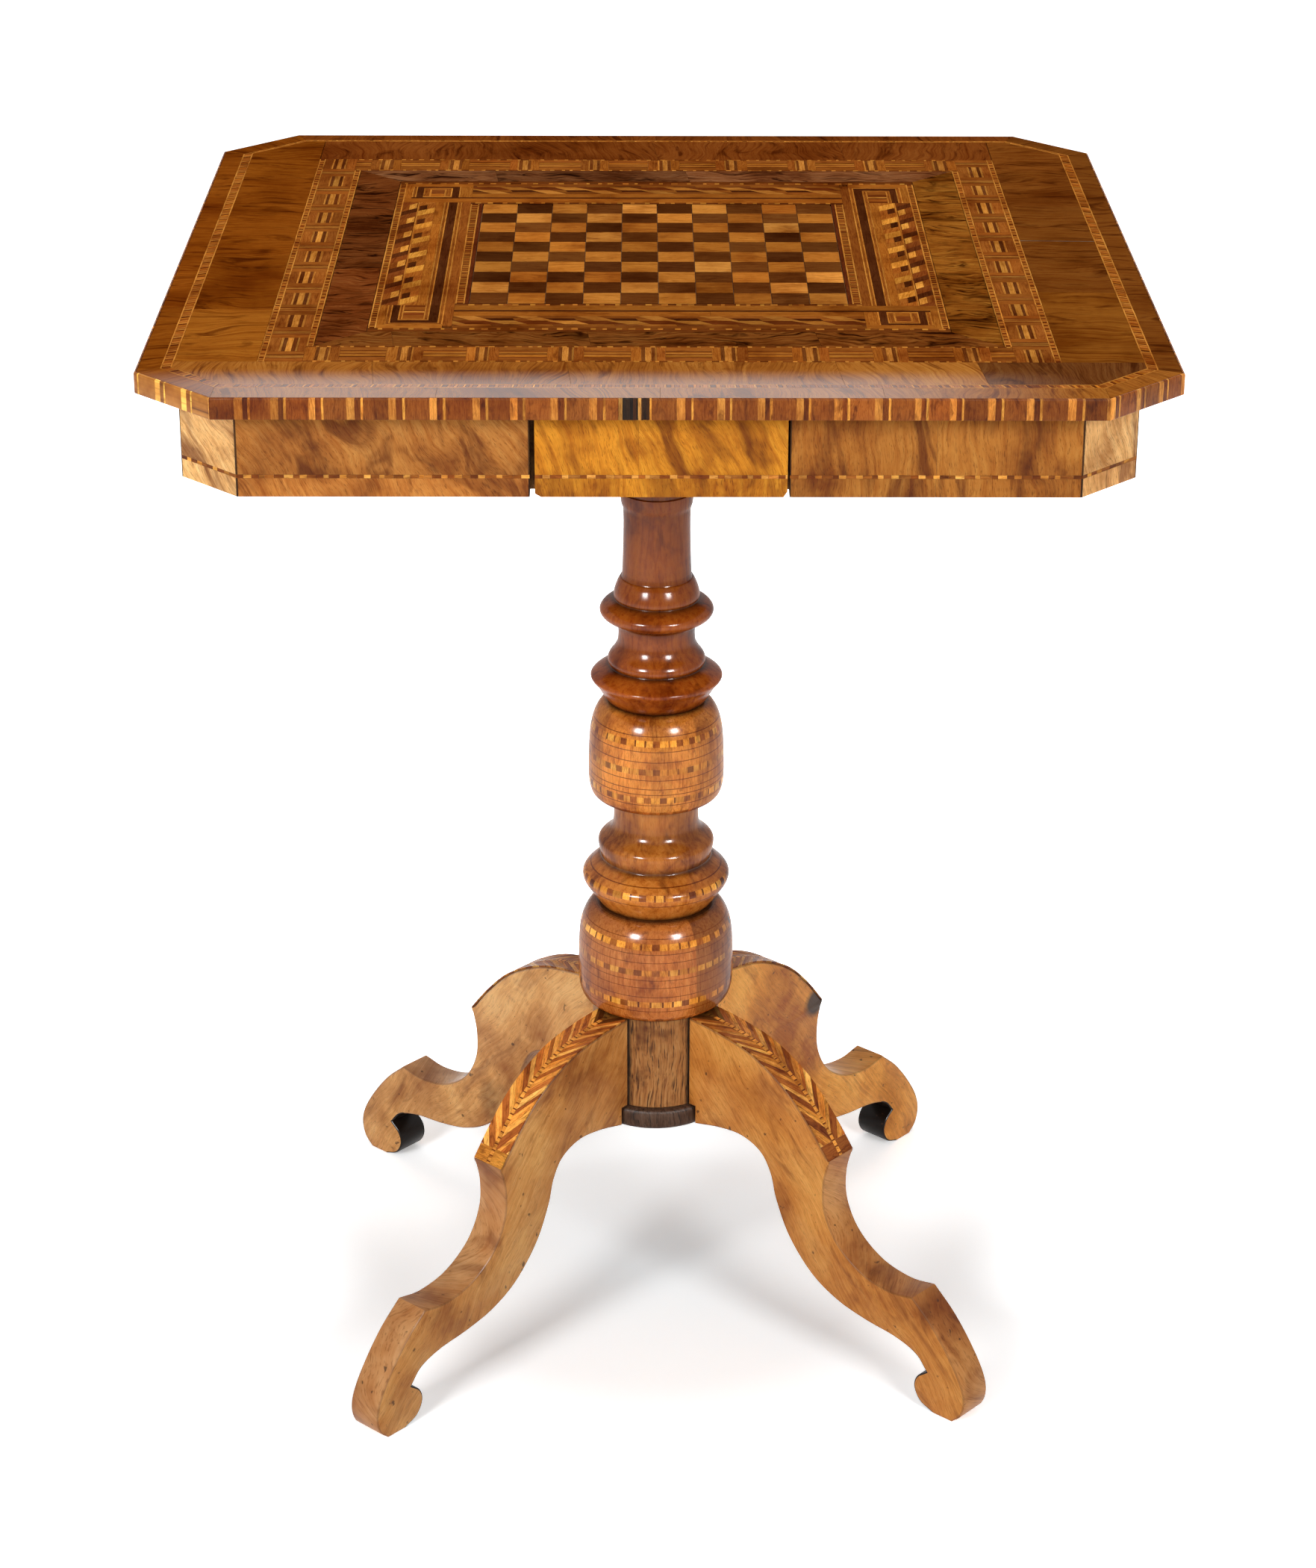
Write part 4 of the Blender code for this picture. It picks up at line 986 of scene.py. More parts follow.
# Edge band: upright stripes all round, one profile carried round the eight sides
edgeSetup = {
    "thickness": 0.0012, "round": 0.0010, "lowerArris": (0.0004, 0.0005), "uneven": (0.85, 1.15), "spread": 0.17,
    "stripes": [(0.0132, "#7d451b"), (0.0042, "#b87a38"), (0.0032, "#683412"), (0.0013, "#c2873b")],
    "fadedAndPaintedSheen": {7: (1.98, 2.95, 3.80), 1: (1.25, 1.35, 1.40)},     # the two front corners are paler and greyer, partly faded and partly a painted sheen
    # a broken place in the front: where it is, how deep, and the splinters left in it
    "lossFrom": -0.0236, "lossTo": -0.0060, "lossDepth": 0.0009, "lossUneven": (0.35, 1.0),
    "splinter": (0.0008, 0.0034), "lossSpread": 0.2, "lossTones": ["#1c1410", "#3a2416", "#2a1c14", "#b98a4c"],
    "joint": 0.00006, "tightest": 0.0001, "sliver": 0.0002,
}


def edgeBand(setup):
    # the band's section is carried to each cut along the outline: bottom, face, rounded arris, top, back
    depth, radius = setup["thickness"], setup["round"]
    low, high = topSizes["underside"], topSizes["level"]
    arrisIn, arrisUp = setup["lowerArris"]
    turn = np.linspace(0, pi / 2, 5)
    section = np.vstack([[(depth, low), (arrisIn, low), (0.0, low + arrisUp)],
                         np.column_stack([radius - radius * np.cos(turn), high - radius + radius * np.sin(turn)]),
                         [(depth, high)]])
    outer, inner = loopCorners([0.0] * 8), loopCorners([depth] * 8)
    sideOf, share, tones, sunk = [], [], [], []
    lossFrom, lossTo = setup["lossFrom"] - setup["tightest"], setup["lossTo"] - setup["sliver"]
    for side in range(8):
        length = np.linalg.norm(outer[(side + 1) % 8] - outer[side])
        place, step = 0.0, int(chance.integers(4)) if side else 0
        while place < length - setup["sliver"]:
            width, hexColour = setup["stripes"][step % 4]
            end = min(place + width * chance.uniform(*setup["uneven"]), length)
            x = outer[side][0] + place
            lost = side == 0 and lossFrom <= x < lossTo
            if side == 0 and x < lossFrom:
                end = min(end, place + setup["lossFrom"] - x)
            if lost:
                width, hexColour = chance.uniform(*setup["splinter"]), setup["lossTones"][int(chance.integers(4))]
                end = min(place + width, place + setup["lossTo"] - x)
            # the two front corners are made paler, partly faded and partly a painted sheen
            tone = toned(hexColour, setup["lossSpread" if lost else "spread"]) * setup["fadedAndPaintedSheen"].get(side, 1.0)
            for at in (place, end - setup["joint"]):
                sideOf.append(side)
                share.append(at / length)
                tones.append(tone)
                sunk.append(setup["lossDepth"] * chance.uniform(*setup["lossUneven"]) / depth if lost else 0.0)
            place, step = end, step + 1
    sideOf, share, tones, sunk = np.array(sideOf), np.array(share)[:, None], np.array(tones), np.array(sunk)
    following = (sideOf + 1) % 8
    outerLine = outer[sideOf] + (outer[following] - outer[sideOf]) * share
    innerLine = inner[sideOf] + (inner[following] - inner[sideOf]) * share
    inward = np.broadcast_to(section[:, 0] / depth, (len(sideOf), len(section))).copy()
    inward = np.maximum(inward, sunk[:, None])
    plan = outerLine[:, None] + (innerLine - outerLine)[:, None] * inward[..., None]
    points = np.concatenate([plan, np.broadcast_to(section[:, 1], inward.shape)[..., None]], axis=2)
    count, around = inward.shape
    i, j = np.meshgrid(np.arange(count), np.arange(around), indexing="ij")
    nextI, nextJ = (i + 1) % count, (j + 1) % around
    faces = np.stack([i * around + j, nextI * around + j, nextI * around + nextJ, i * around + nextJ], axis=-1)
    faces = faces.reshape(-1, 4)
    cornerTones = np.repeat(tones, around * 4, axis=0)
    flatPoints = points.reshape(-1, 3)
    corners = flatPoints[faces.ravel()]
    seeds = chance.uniform(0, sheetSetup["seedReach"], (count + 1) // 2)
    seeds = np.repeat(np.repeat(seeds, 2)[:count], around * 4)
    runs = np.column_stack([corners[:, 2], corners[:, 0] + corners[:, 1], seeds])
    return meshPiece("stripedEdgeBand", flatPoints, faces.tolist(), stripedEdge, cornerTones, runs, sharpAngle=50)


settle(edgeBand(edgeSetup), "table", "striped_edge_veneer", *["edge_band_" + side for side in (
    "front", "front_right", "right", "back_right", "back", "back_left", "left", "front_left")])
print("top finished")


# Frieze: eight walls of walnut leaves on pine, with a checkered line near the foot
friezeSetup = {
    "half": 0.278, "cornerCut": 0.0355, "wall": 0.014, "low": 0.6832, "high": 0.7369, "veneer": 0.0012,
    "lineLow": 0.6945, "lineHigh": 0.6966, "openFrom": -0.07455, "openTo": 0.07455,
    "tones": {"front": "#ab6d35", "frontRight": "#9c6129", "corner": "#e3ad75", "side": "#9c5c28",
              "back": "#935525"},
    "dashLengths": [0.0046, 0.0040, 0.0050, 0.0036, 0.0060],
    "dashTones": ["#7a4014", "#e0a050", "#8f5020", "#cd8c40", "#9a5c26"],
    "joint": 0.0007, "jointTone": "#40260f",       # old glue, nearly black, in the joint at each end
    "lowSpread": 0.08, "highSpread": 0.06, "wander": 0.05, "coreTone": "#a4713c", "coreSpread": 0.05,
    # each wall's side of the table, its tone, its number of leaves, the lean of their grain, and its node
    "walls": [("FrontLeft", 0, "front", 1, 0.48, "apron_front_left"),
              ("FrontRight", 0, "frontRight", 2, 0.10, "apron_front_right"),
              ("CornerFrontRight", 1, "corner", 1, 0.3, "apron_corner_front_right"),
              ("Right", 2, "side", 3, 0.15, "apron_right"),
              ("CornerBackRight", 3, "corner", 1, 0.0, "apron_corner_back_right"),
              ("Back", 4, "back", 3, -0.1, "apron_back"),
              ("CornerBackLeft", 5, "corner", 1, 0.2, "apron_corner_back_left"),
              ("Left", 6, "side", 3, -0.2, "apron_left"),
              ("CornerFrontLeft", 7, "corner", 1, 0.9, "apron_corner_front_left")],
}
drawerSetup = {
    "left": -0.07165, "right": 0.07335, "low": 0.6832, "high": 0.7362, "front": -0.278, "thickness": 0.012,
    "veneer": 0.0011, "tone": "#c07c23", "spread": 0.03, "lowLean": 0.1, "highLean": 0.42, "leafCut": -0.012,
    "dashLengths": [0.0046, 0.0040, 0.0052, 0.0036, 0.0058],
    "dashTones": ["#86481a", "#dc9c50", "#9a5420", "#c98840", "#b07034"],
    "leftChip": (0.0035, 0.0021), "rightChip": (0.0022, 0.0034),      # how far in and how far up
    "coreTone": "#6b4322", "coreJoint": 0.0003,
}


def wallSheet(direction, distance):
    # u runs along the wall, v is height, and h is how far the face stands out
    outward = np.array([direction[0], direction[1], 0.0])
    along = np.array([-direction[1], direction[0], 0.0])
    upwards = np.array([0.0, 0.0, 1.0])

    def place(u, v, h):
        # the three directions times how far the point lies along each
        return u[..., None] * along + (distance + h)[..., None] * outward + v[..., None] * upwards
    return place


def wallTiles(u0, u1, hexColour, leaves, lean):
    # a checkered line from end to end, and under and over it leaves of equal width between two dark joints
    s = friezeSetup
    low, lineLow, lineHigh, high, joint = s["low"], s["lineLow"], s["lineHigh"], s["high"], s["joint"]
    tiles = dashes(u0, u1, lineLow, lineHigh, s["dashLengths"], s["dashTones"])
    cuts = np.linspace(u0 + joint, u1 - joint, leaves + 1)
    for v0, v1, spread in ((low, lineLow, s["lowSpread"]), (lineHigh, high, s["highSpread"])):
        tiles += [slip(a, a + joint, v0, v1, s["jointTone"], pi / 2) for a in (u0, u1 - joint)]
        for a, b in zip(cuts, cuts[1:]):
            tone = toned(hexColour, spread)
            tiles.append((rectangle(a, b, v0, v1), tone, pi / 2 + lean + chance.normal(0, s["wander"])))
    return tiles


def frieze(s):
    # a sheet of veneer on each wall, and behind it a pine wall that is mitred where it meets its neighbours
    flat, slant = s["half"] - s["cornerCut"], s["cornerCut"] / sqrt(2)
    distances = s["half"], (2 * s["half"] - s["cornerCut"]) / sqrt(2)
    slope = np.tan(pi / 8)
    inset, mitre = s["veneer"] * slope, (s["wall"] - s["veneer"]) * slope
    ends = {"FrontLeft": (-flat, s["openFrom"]), "FrontRight": (s["openTo"], flat)}
    for name, side, key, leaves, lean, node in s["walls"]:
        u0, u1 = ends.get(name, (-slant, slant) if side % 2 else (-flat, flat))
        sheet = wallSheet(outwardSides[side], distances[side % 2])
        veneer = layTiles("friezeVeneer" + name, wallTiles(u0, u1, s["tones"][key], leaves, lean), sheet,
                          -s["veneer"], 0.0, friezeWalnut, rows=1 if side % 2 else 2)
        settle(veneer, "table", "frieze_walnut", node)
        start, backStart = (u0, u0) if u0 == s["openTo"] else (u0 + inset, u0 + inset + mitre)
        end, backEnd = (u1, u1) if u1 == s["openFrom"] else (u1 - inset, u1 - inset - mitre)
        section = [(start, -s["veneer"]), (backStart, -s["wall"]), (backEnd, -s["wall"]), (end, -s["veneer"])]

        def upright(u, v, h, sheet=sheet):
            # the core's section lies level, so height and depth change places
            return sheet(u, h, v)
        core = layTiles("friezeCore" + name, [(section, toned(s["coreTone"], s["coreSpread"]), 0.0)], upright,
                        s["low"], s["high"], friezeWalnut)
        settle(core, "table", "frieze_walnut", node)


print("building the frieze")
frieze(friezeSetup)


def drawerFront(setup):
    # a veneered board; both lower corners are chipped, so its outline is cut there
    left, right, low, high = setup["left"], setup["right"], setup["low"], setup["high"]
    lineLow, lineHigh = friezeSetup["lineLow"], friezeSetup["lineHigh"]
    (leftIn, leftUp), (rightIn, rightUp) = setup["leftChip"], setup["rightChip"]
    chipped = [(left + leftIn, low), (right - rightIn, low), (right, low + rightUp)]
    lower = chipped + [(right, lineLow), (left, lineLow), (left, low + leftUp)]
    tiles = [(lower, toned(setup["tone"], setup["spread"]), pi / 2 + setup["lowLean"])]
    tiles += dashes(left, right, lineLow, lineHigh, setup["dashLengths"], setup["dashTones"])
    for a, b in ((left, setup["leafCut"]), (setup["leafCut"], right)):
        tiles.append(slip(a, b, lineHigh, high, setup["tone"], pi / 2 + setup["highLean"], setup["spread"]))
    sheet = wallSheet((0.0, -1.0), -setup["front"])
    face = layTiles("drawerVeneer", tiles, sheet, -setup["veneer"], 0.0, friezeWalnut, rows=2)
    settle(face, "drawer", "frieze_walnut", "drawer_front")
    board = chipped + [(right, high), (left, high), (left, low + leftUp)]
    core = layTiles("drawerCore", [(board, toned(setup["coreTone"], setup["spread"]), 0.0)], sheet,
                    -setup["thickness"], -setup["veneer"], friezeWalnut, joint=setup["coreJoint"])
    settle(core, "drawer", "frieze_walnut", "drawer_front")


drawerFront(drawerSetup)


def smoothRun(points, steps):
    # a smooth curve through the points: each span is the cubic set by its two ends and their neighbours
    p = np.asarray(points, dtype=float)
    padded = np.vstack([2 * p[0] - p[1], p, 2 * p[-1] - p[-2]])
    t = np.linspace(0, 1, steps, endpoint=False)[:, None, None]
    p0, p1, p2, p3 = padded[:-3], padded[1:-2], padded[2:-1], padded[3:]
    curve = 0.5 * (2 * p1 + (p2 - p0) * t + (2 * p0 - 5 * p1 + 4 * p2 - p3) * t ** 2
                   + (3 * p1 - p0 - 3 * p2 + p3) * t ** 3)
    return np.vstack([curve.transpose(1, 0, 2).reshape(-1, 2), p[-1:]])


# Pillar: each turned piece is its outline carried round the axis; tone is given ring by ring
turnSteps = 240
baseTurn = radians(2.8)


def tubeFaces(rings, steps):
    # quads between each ring of points and the next, closed round the axis, and the two end faces
    ring, step = np.meshgrid(np.arange(rings - 1), np.arange(steps), indexing="ij")
    following = (step + 1) % steps
    quads = np.stack([ring * steps + step, (ring + 1) * steps + step, (ring + 1) * steps + following,
                      ring * steps + following], axis=-1).reshape(-1, 4)
    last = (rings - 1) * steps
    return quads.tolist() + [list(range(steps)), list(range(last + steps - 1, last - 1, -1))]


def turnedPiece(name, outline, tones, material):
    # outline runs from top to bottom as radius and height; tones is one colour for each ring and step
    angle = 2 * pi * np.arange(turnSteps) / turnSteps + baseTurn + pi / 2
    radius, height = outline[:, :1], np.broadcast_to(outline[:, 1:], (len(outline), turnSteps))
    points = np.stack([radius * np.cos(angle), radius * np.sin(angle), height], axis=-1).reshape(-1, 3)
    ends = [np.repeat(tones[k, :1], turnSteps, axis=0) for k in (0, -1)]
    cornerTones = np.vstack([np.repeat(tones.reshape(-1, 3), 4, axis=0), *ends])
    return meshPiece(name, points, tubeFaces(len(outline), turnSteps), material, cornerTones, sharpAngle=42)


def crease(outline, setup):
    # how dark each ring is: where the outline lies in a hollow, or under its ends, it is darkened, partly for the
    # wax and dirt gathered there and partly as painted shade
    radius, height = outline[:, 0], outline[:, 1]
    along = np.concatenate([[0], np.cumsum(np.hypot(np.diff(radius), np.diff(height)))])
    window = np.linspace(-setup["hollowReach"], setup["hollowReach"], 17)
    wide = np.interp(along[:, None] + window, along, radius).mean(axis=1)
    hollow = np.clip((wide - radius) / setup["hollowDepth"], 0, 1)
    ends = np.clip(1 - np.minimum(along, along[-1] - along) / setup["endReach"], 0, 1)
    darkening = np.maximum((hollow[1:] + hollow[:-1]) / 2, (ends[1:] + ends[:-1]) / 2)
    return darkening[:, None, None] * setup["dirtAndShadeDepth"]


# shares are of the radius and the height, from the top down; other numbers are heights in metres
pillarSetup = {
    "shaft": {"radius": 0.0437, "low": 0.4438, "high": 0.7176, "tone": "#914c17", "shares": [
        (0.787, 1.0), (0.787, 0.984), (0.7, 0.966), (0.59, 0.942), (0.535, 0.9), (0.521, 0.8), (0.514, 0.552),
        (0.516, 0.546), (0.538, 0.54), (0.548, 0.525), (0.538, 0.506), (0.512, 0.493), (0.508, 0.478),
        (0.505, 0.44), (0.524, 0.331), (0.556, 0.316), (0.596, 0.304), (0.641, 0.284), (0.653, 0.269),
        (0.64, 0.262), (0.705, 0.257), (0.8, 0.25), (0.862, 0.237), (0.852, 0.225), (0.78, 0.214),
        (0.67, 0.206), (0.605, 0.199), (0.585, 0.182), (0.585, 0.164), (0.6, 0.148), (0.65, 0.132),
        (0.715, 0.118), (0.744, 0.107), (0.738, 0.097), (0.726, 0.091), (0.8, 0.086), (0.915, 0.076),
        (0.992, 0.066), (1.0, 0.058), (0.92, 0.042), (0.829, 0.019), (0.752, 0.0)]},
    "neck": {"radius": 0.0498, "low": 0.2959, "high": 0.3737, "tone": "#aa6a2d", "shares": [
        (0.575, 1.0), (0.575, 0.9), (0.576, 0.8), (0.588, 0.735), (0.625, 0.685), (0.69, 0.645), (0.75, 0.615),
        (0.782, 0.585), (0.787, 0.55), (0.774, 0.5), (0.758, 0.455), (0.755, 0.425), (0.81, 0.398),
        (0.89, 0.352), (0.965, 0.305), (1.0, 0.262), (0.985, 0.205), (0.905, 0.125), (0.825, 0.055),
        (0.77, 0.0)],
        "blocks": [0.3172], "darkLines": [0.3232, 0.3110]},
    "upperDrum": {"radius": 0.0456, "low": 0.3740, "high": 0.4435, "tone": "#a86c2e", "shares": [
        (0.7, 1.0), (0.76, 0.985), (0.835, 0.95), (0.91, 0.865), (0.965, 0.735), (0.99, 0.57), (1.0, 0.38),
        (1.0, 0.22), (0.985, 0.125), (0.95, 0.055), (0.885, 0.016), (0.8, 0.0)],
        "blocks": [0.4276, 0.4080, 0.3876], "darkLines": [0.4325, 0.4222, 0.4150, 0.4022, 0.3958, 0.3918, 0.3840],
        "endGrain": 0.3784},
    "lowerDrum": {"radius": 0.0530, "low": 0.2231, "high": 0.2956, "tone": "#8e5629", "shares": [
        (0.74, 1.0), (0.83, 0.965), (0.905, 0.895), (0.962, 0.79), (0.99, 0.66), (1.0, 0.48), (1.0, 0.22),
        (0.983, 0.115), (0.94, 0.04), (0.865, 0.0)],
        "blocks": [0.2815, 0.2630, 0.2392], "darkLines": [0.2868, 0.2765, 0.2705, 0.2576, 0.2520, 0.2450, 0.2340],
        "endGrain": 0.2275},
    "blockHeight": 0.0042, "lineHeight": 0.0006, "lineTone": "#7d4216", "rowStrength": [1.0, 0.55, 0.85],
    "lightBlocks": ["#f2b455", "#e29c40", "#d48e38"], "darkBlocks": ["#7c4218", "#a05c24", "#66330f", "#8f5020"],
    "lightSteps": (4, 6), "darkSteps": (1, 4), "jointShare": 0.6, "blockSpread": 0.12, "blocksDrawn": 200,
    "staveSteps": (10, 22), "staves": 24, "staveTones": 60, "staveSpread": 0.13,
    "endTone": "#a05a24", "endSpread": 0.24,
    "hollowReach": 0.006, "hollowDepth": 0.0020, "endReach": 0.0045, "dirtAndShadeTone": "#150e0a", "dirtAndShadeDepth": 0.93,
    "worn": 0.42, "paintedSheenFrom": 0.70,      # where the outline stands widest the wood is painted paler: a painted sheen
}


def turnedWork(name, setup, material, slotName, node):
    # the outline gets extra rings where a row or line begins and ends, so its blocks have clean edges
    s = pillarSetup
    size, line, drawn = s["blockHeight"] / 2, s["lineHeight"] / 2, s["blocksDrawn"]
    scale = (setup["radius"], setup["high"] - setup["low"])
    shape = smoothRun(np.array(setup["shares"]) * scale + (0, setup["low"]), 4)[::-1]
    blockRows, lines = setup.get("blocks", []), setup.get("darkLines", [])
    edges = [z + d for z in blockRows for d in (-size, size)] + [z + d for z in lines for d in (-line, line)]
    foot = setup.get("endGrain", setup["low"])
    heights = np.unique(np.round(np.concatenate([shape[:, 1], edges, [foot]]), 5))[::-1]
    outline = np.column_stack([np.interp(heights, shape[:, 1], shape[:, 0]), heights])
    middle = (heights[1:] + heights[:-1]) / 2
    darkening = crease(outline, s)
    share = (outline[1:, 0] + outline[:-1, 0]) / 2 / setup["radius"]
    # the widest parts of the outline are lightened: a painted sheen
    paintedSheen = 1 + s["worn"] * np.clip(share - s["paintedSheenFrom"], 0, 1 - s["paintedSheenFrom"]) / (1 - s["paintedSheenFrom"])
    wood = linear(setup["tone"]) * paintedSheen[:, None, None] * np.ones((1, turnSteps, 1))
    steps = np.arange(turnSteps)
    if "endGrain" in setup:      # the drums are built of staves, and stand on a ring of end grain
        staves = chance.integers(*s["staveSteps"], s["staves"]).cumsum()
        tones = np.exp(chance.normal(0, s["staveSpread"], s["staveTones"]))
        wood *= tones[np.searchsorted(staves, steps, side="right")][None, :, None]
        fine = np.exp(chance.normal(0, s["endSpread"], turnSteps))[steps // 2 * 2 % turnSteps]
        wood[middle < foot] = linear(s["endTone"]) * fine[None, :, None]
    isLight = np.arange(drawn) % 2 == 0
    for z, strength in zip(blockRows, s["rowStrength"]):
        # mostly light blocks four or five steps wide, with a dark joint or a dark block between them
        lightWidths = chance.integers(*s["lightSteps"], drawn)
        joint, darkBlock = s["darkSteps"]
        darkWidths = np.where(chance.uniform(0, 1, drawn) > s["jointShare"], darkBlock, joint)
        block = np.searchsorted(np.where(isLight, lightWidths, darkWidths).cumsum(), steps, side="right")
        light = np.array([linear(c) for c in s["lightBlocks"]])[chance.integers(0, len(s["lightBlocks"]), drawn)]
        dark = np.array([linear(c) for c in s["darkBlocks"]])[chance.integers(0, len(s["darkBlocks"]), drawn)]
        row = np.where(isLight[:, None], light, dark) * np.exp(chance.normal(0, s["blockSpread"], drawn))[:, None]
        wood[np.abs(middle - z) < size] = row[block] * strength + linear(setup["tone"]) * (1 - strength)
    for z in lines:
        wood[np.abs(middle - z) < line] = linear(s["lineTone"])
    # hollows and piece ends darkened: partly dirt, partly painted shade
    tones = wood * (1 - darkening) + linear(s["dirtAndShadeTone"]) * darkening
    settle(turnedPiece(name, outline, tones, material), "table", slotName, node)


print("turning the pillar")
turnedWork("pillarShaft", pillarSetup["shaft"], turnedFruitwood, "turned_fruitwood", "column_shaft")
turnedWork("pillarNeck", pillarSetup["neck"], turnedFruitwood, "turned_fruitwood", "column_neck")
turnedWork("upperDrum", pillarSetup["upperDrum"], inlaidDrumWood, "inlaid_drum_walnut", "upper_drum")
turnedWork("lowerDrum", pillarSetup["lowerDrum"], inlaidDrumWood, "inlaid_drum_walnut", "lower_drum")

# Hub: round between four flats; upright cracked grain, darkening to black where the legs meet it
agedHubWood = woodMaterial("agedHubWood", {
    "grainTurn": (0.0, radians(90), 0.0),
    "bendMm": (40, 7), "lift": (1.30, 1.48, 1.50), "streakMm": (45, 1.5), "poreMm": (20, 1.1),
    "figureMm": (60, 7), "swirl": 1.5,
    "streakStops": [(0.28, "#8a6040"), (0.50, "#ead8c4"), (0.72, "#ffffff")],
    "poreTone": "#20140c", "poreDepth": 0.85,
    "figureFrom": 0.44, "figureDepth": 0.9, "figureTone": "#3c2618",
    "patchMm": 26, "patchStops": [(0.32, "#8c6e56"), (0.5, "#efe6dc"), (0.68, "#ffffff")],
    "bump": 0.8, "roughness": 0.42, "gloss": 0.15,
})
hubSetup = {
    "radius": 0.0435, "low": 0.1548, "legWidth": 0.025, "tone": "#9e6e42", "darkening": "#1f1a17",
    "darkeningReach": 0.075,
    # how far in from the radius and how far up each ring is
    "levels": [(0.0006, 0.0), (0.0, 0.0006), (0.0, 0.02), (0.0, 0.045), (0.0, 0.0674), (0.0006, 0.068)],
    "bossTone": "#4f3a30", "boss": [(0.0425, 0.1545), (0.0462, 0.1533), (0.0475, 0.1500), (0.0475, 0.1457),
                                    (0.0470, 0.1420), (0.0450, 0.1397), (0.0405, 0.1395)],
}


def hubPiece(setup):
    # the plan outline carried up in rings; near a leg's flat the tone falls to black
    half = np.arcsin(setup["legWidth"] / 2 / setup["radius"])
    arc = np.linspace(half, pi / 2 - half, 15)
    angles = np.concatenate([arc + k * pi / 2 for k in range(4)]) + pi / 4 + baseTurn
    clean = np.tile(np.clip(np.minimum(arc - half, pi / 2 - half - arc) / setup["darkeningReach"], 0, 1), 4)[:, None]
    levels = np.array(setup["levels"])[::-1]
    radius, height = setup["radius"] - levels[:, :1], setup["low"] + levels[:, 1:]
    points = np.stack([radius * np.cos(angles), radius * np.sin(angles), height + 0 * angles], axis=-1)
    faces = tubeFaces(len(levels), len(angles))
    mix = clean * linear(setup["tone"]) + (1 - clean) * linear(setup["darkening"])
    order = np.array([corner for face in faces for corner in face])
    tones = mix[order % len(angles)]
    return meshPiece("pillarHub", points.reshape(-1, 3), faces, agedHubWood, tones, sharpAngle=35)


settle(hubPiece(hubSetup), "table", "turned_fruitwood", "hub")
bossOutline = smoothRun(hubSetup["boss"], 4)
bossTones = np.tile(linear(hubSetup["bossTone"]), (len(bossOutline) - 1, turnSteps, 1))
settle(turnedPiece("hubBoss", bossOutline, bossTones, agedHubWood), "table", "turned_fruitwood", "hub_boss")

# Legs: one scrolled outline, its section rounded at the arrises, and a herringbone strip over the hump
legSetup = {
    "reach": 0.288, "thickness": 0.025, "veneer": 0.0012, "gap": 0.0003, "round": 0.0011,
    # each leg's own tone; the back right leg's is raised to make up for the shade it stands in, a painted light
    "tones": {"front_right": "#d2964c", "back_right": "#ffbc5c", "back_left": "#ebbd7d", "front_left": "#d29f5d"},
    "grainAngle": radians(-52), "grainLean": 0.4,
    "narrowFaceSheen": (0.90, 0.92, 1.22),     # the faces along the curve are greyer than the flat sides: a painted sheen
    "arrisShade": 0.74, "scrollDarkTone": "#1c1714", "scrollDarkSteps": 9,
    # curves as shares of the reach and of the height of the hub's top
    "hump": [(0.0, 1.0), (0.108, 0.99), (0.231, 0.962), (0.354, 0.891), (0.444, 0.798), (0.513, 0.706)],
    "shin": [(0.513, 0.706), (0.495, 0.62), (0.501, 0.526), (0.547, 0.436), (0.632, 0.373), (0.73, 0.353),
             (0.812, 0.366)],
    "toe": [(0.812, 0.366), (0.88, 0.301), (0.938, 0.225), (0.983, 0.148), (1.0, 0.088), (0.99, 0.034),
            (0.96, 0.0)],
    "scroll": [(0.895, 0.0), (0.85, 0.021), (0.828, 0.062), (0.836, 0.102), (0.868, 0.133)],
    "arch": [(0.868, 0.133), (0.828, 0.178), (0.755, 0.203), (0.652, 0.215), (0.55, 0.239), (0.456, 0.292),
             (0.374, 0.387), (0.325, 0.494), (0.303, 0.575), (0.266, 0.634), (0.198, 0.663), (0.117, 0.658)],
    "archEnd": 0.635, "hubFlat": 0.041665, "bossRadius": 0.0475, "hubTop": 0.2228, "hubBottom": 0.1548,
    "shortest": 0.00005,
}
legAngles = {"front_right": -pi / 4, "back_right": pi / 4, "back_left": 3 * pi / 4, "front_left": 5 * pi / 4}


def stainPoint(quarterName, r, side, z):
    # a point on a leg's side: r out from the axis, so far to the side, at height z
    return turnedRound(r, side, z, legAngles[quarterName] + baseTurn)


# Solid walnut of the legs: sawn from the plank, long streaks and cloudy figure, rubbed and knocked about
solidWalnut = woodMaterial("solidWalnut", {
    "bendMm": (90, 34), "lift": (1.12, 1.14, 1.20), "streakMm": (46, 2.2), "poreMm": (5, 0.45),
    "figureMm": (62, 22), "swirl": 1.8,
    "streakStops": [(0.30, "#dfcbb7"), (0.50, "#f3eadf"), (0.70, "#ffffff")],
    "poreTone": "#7c5a40", "poreDepth": 0.40,
    "figureFrom": 0.46, "figureDepth": 0.50, "figureTone": "#8e6448",
    "patchMm": 64, "patchStops": [(0.32, "#a98569"), (0.5, "#ead9c8"), (0.66, "#ffffff")], "specksMm": 5.5,
    "bump": 0.26, "roughness": 0.40, "gloss": 0.08, "shellac": 0.14, "shellacRoughness": 0.24,
    "stains": [(stainPoint("back_left", 0.146, -0.0125, 0.088), 0.030, "#15110f"),
               (stainPoint("back_right", 0.160, -0.0125, 0.158), 0.012, "#20150f")],
})


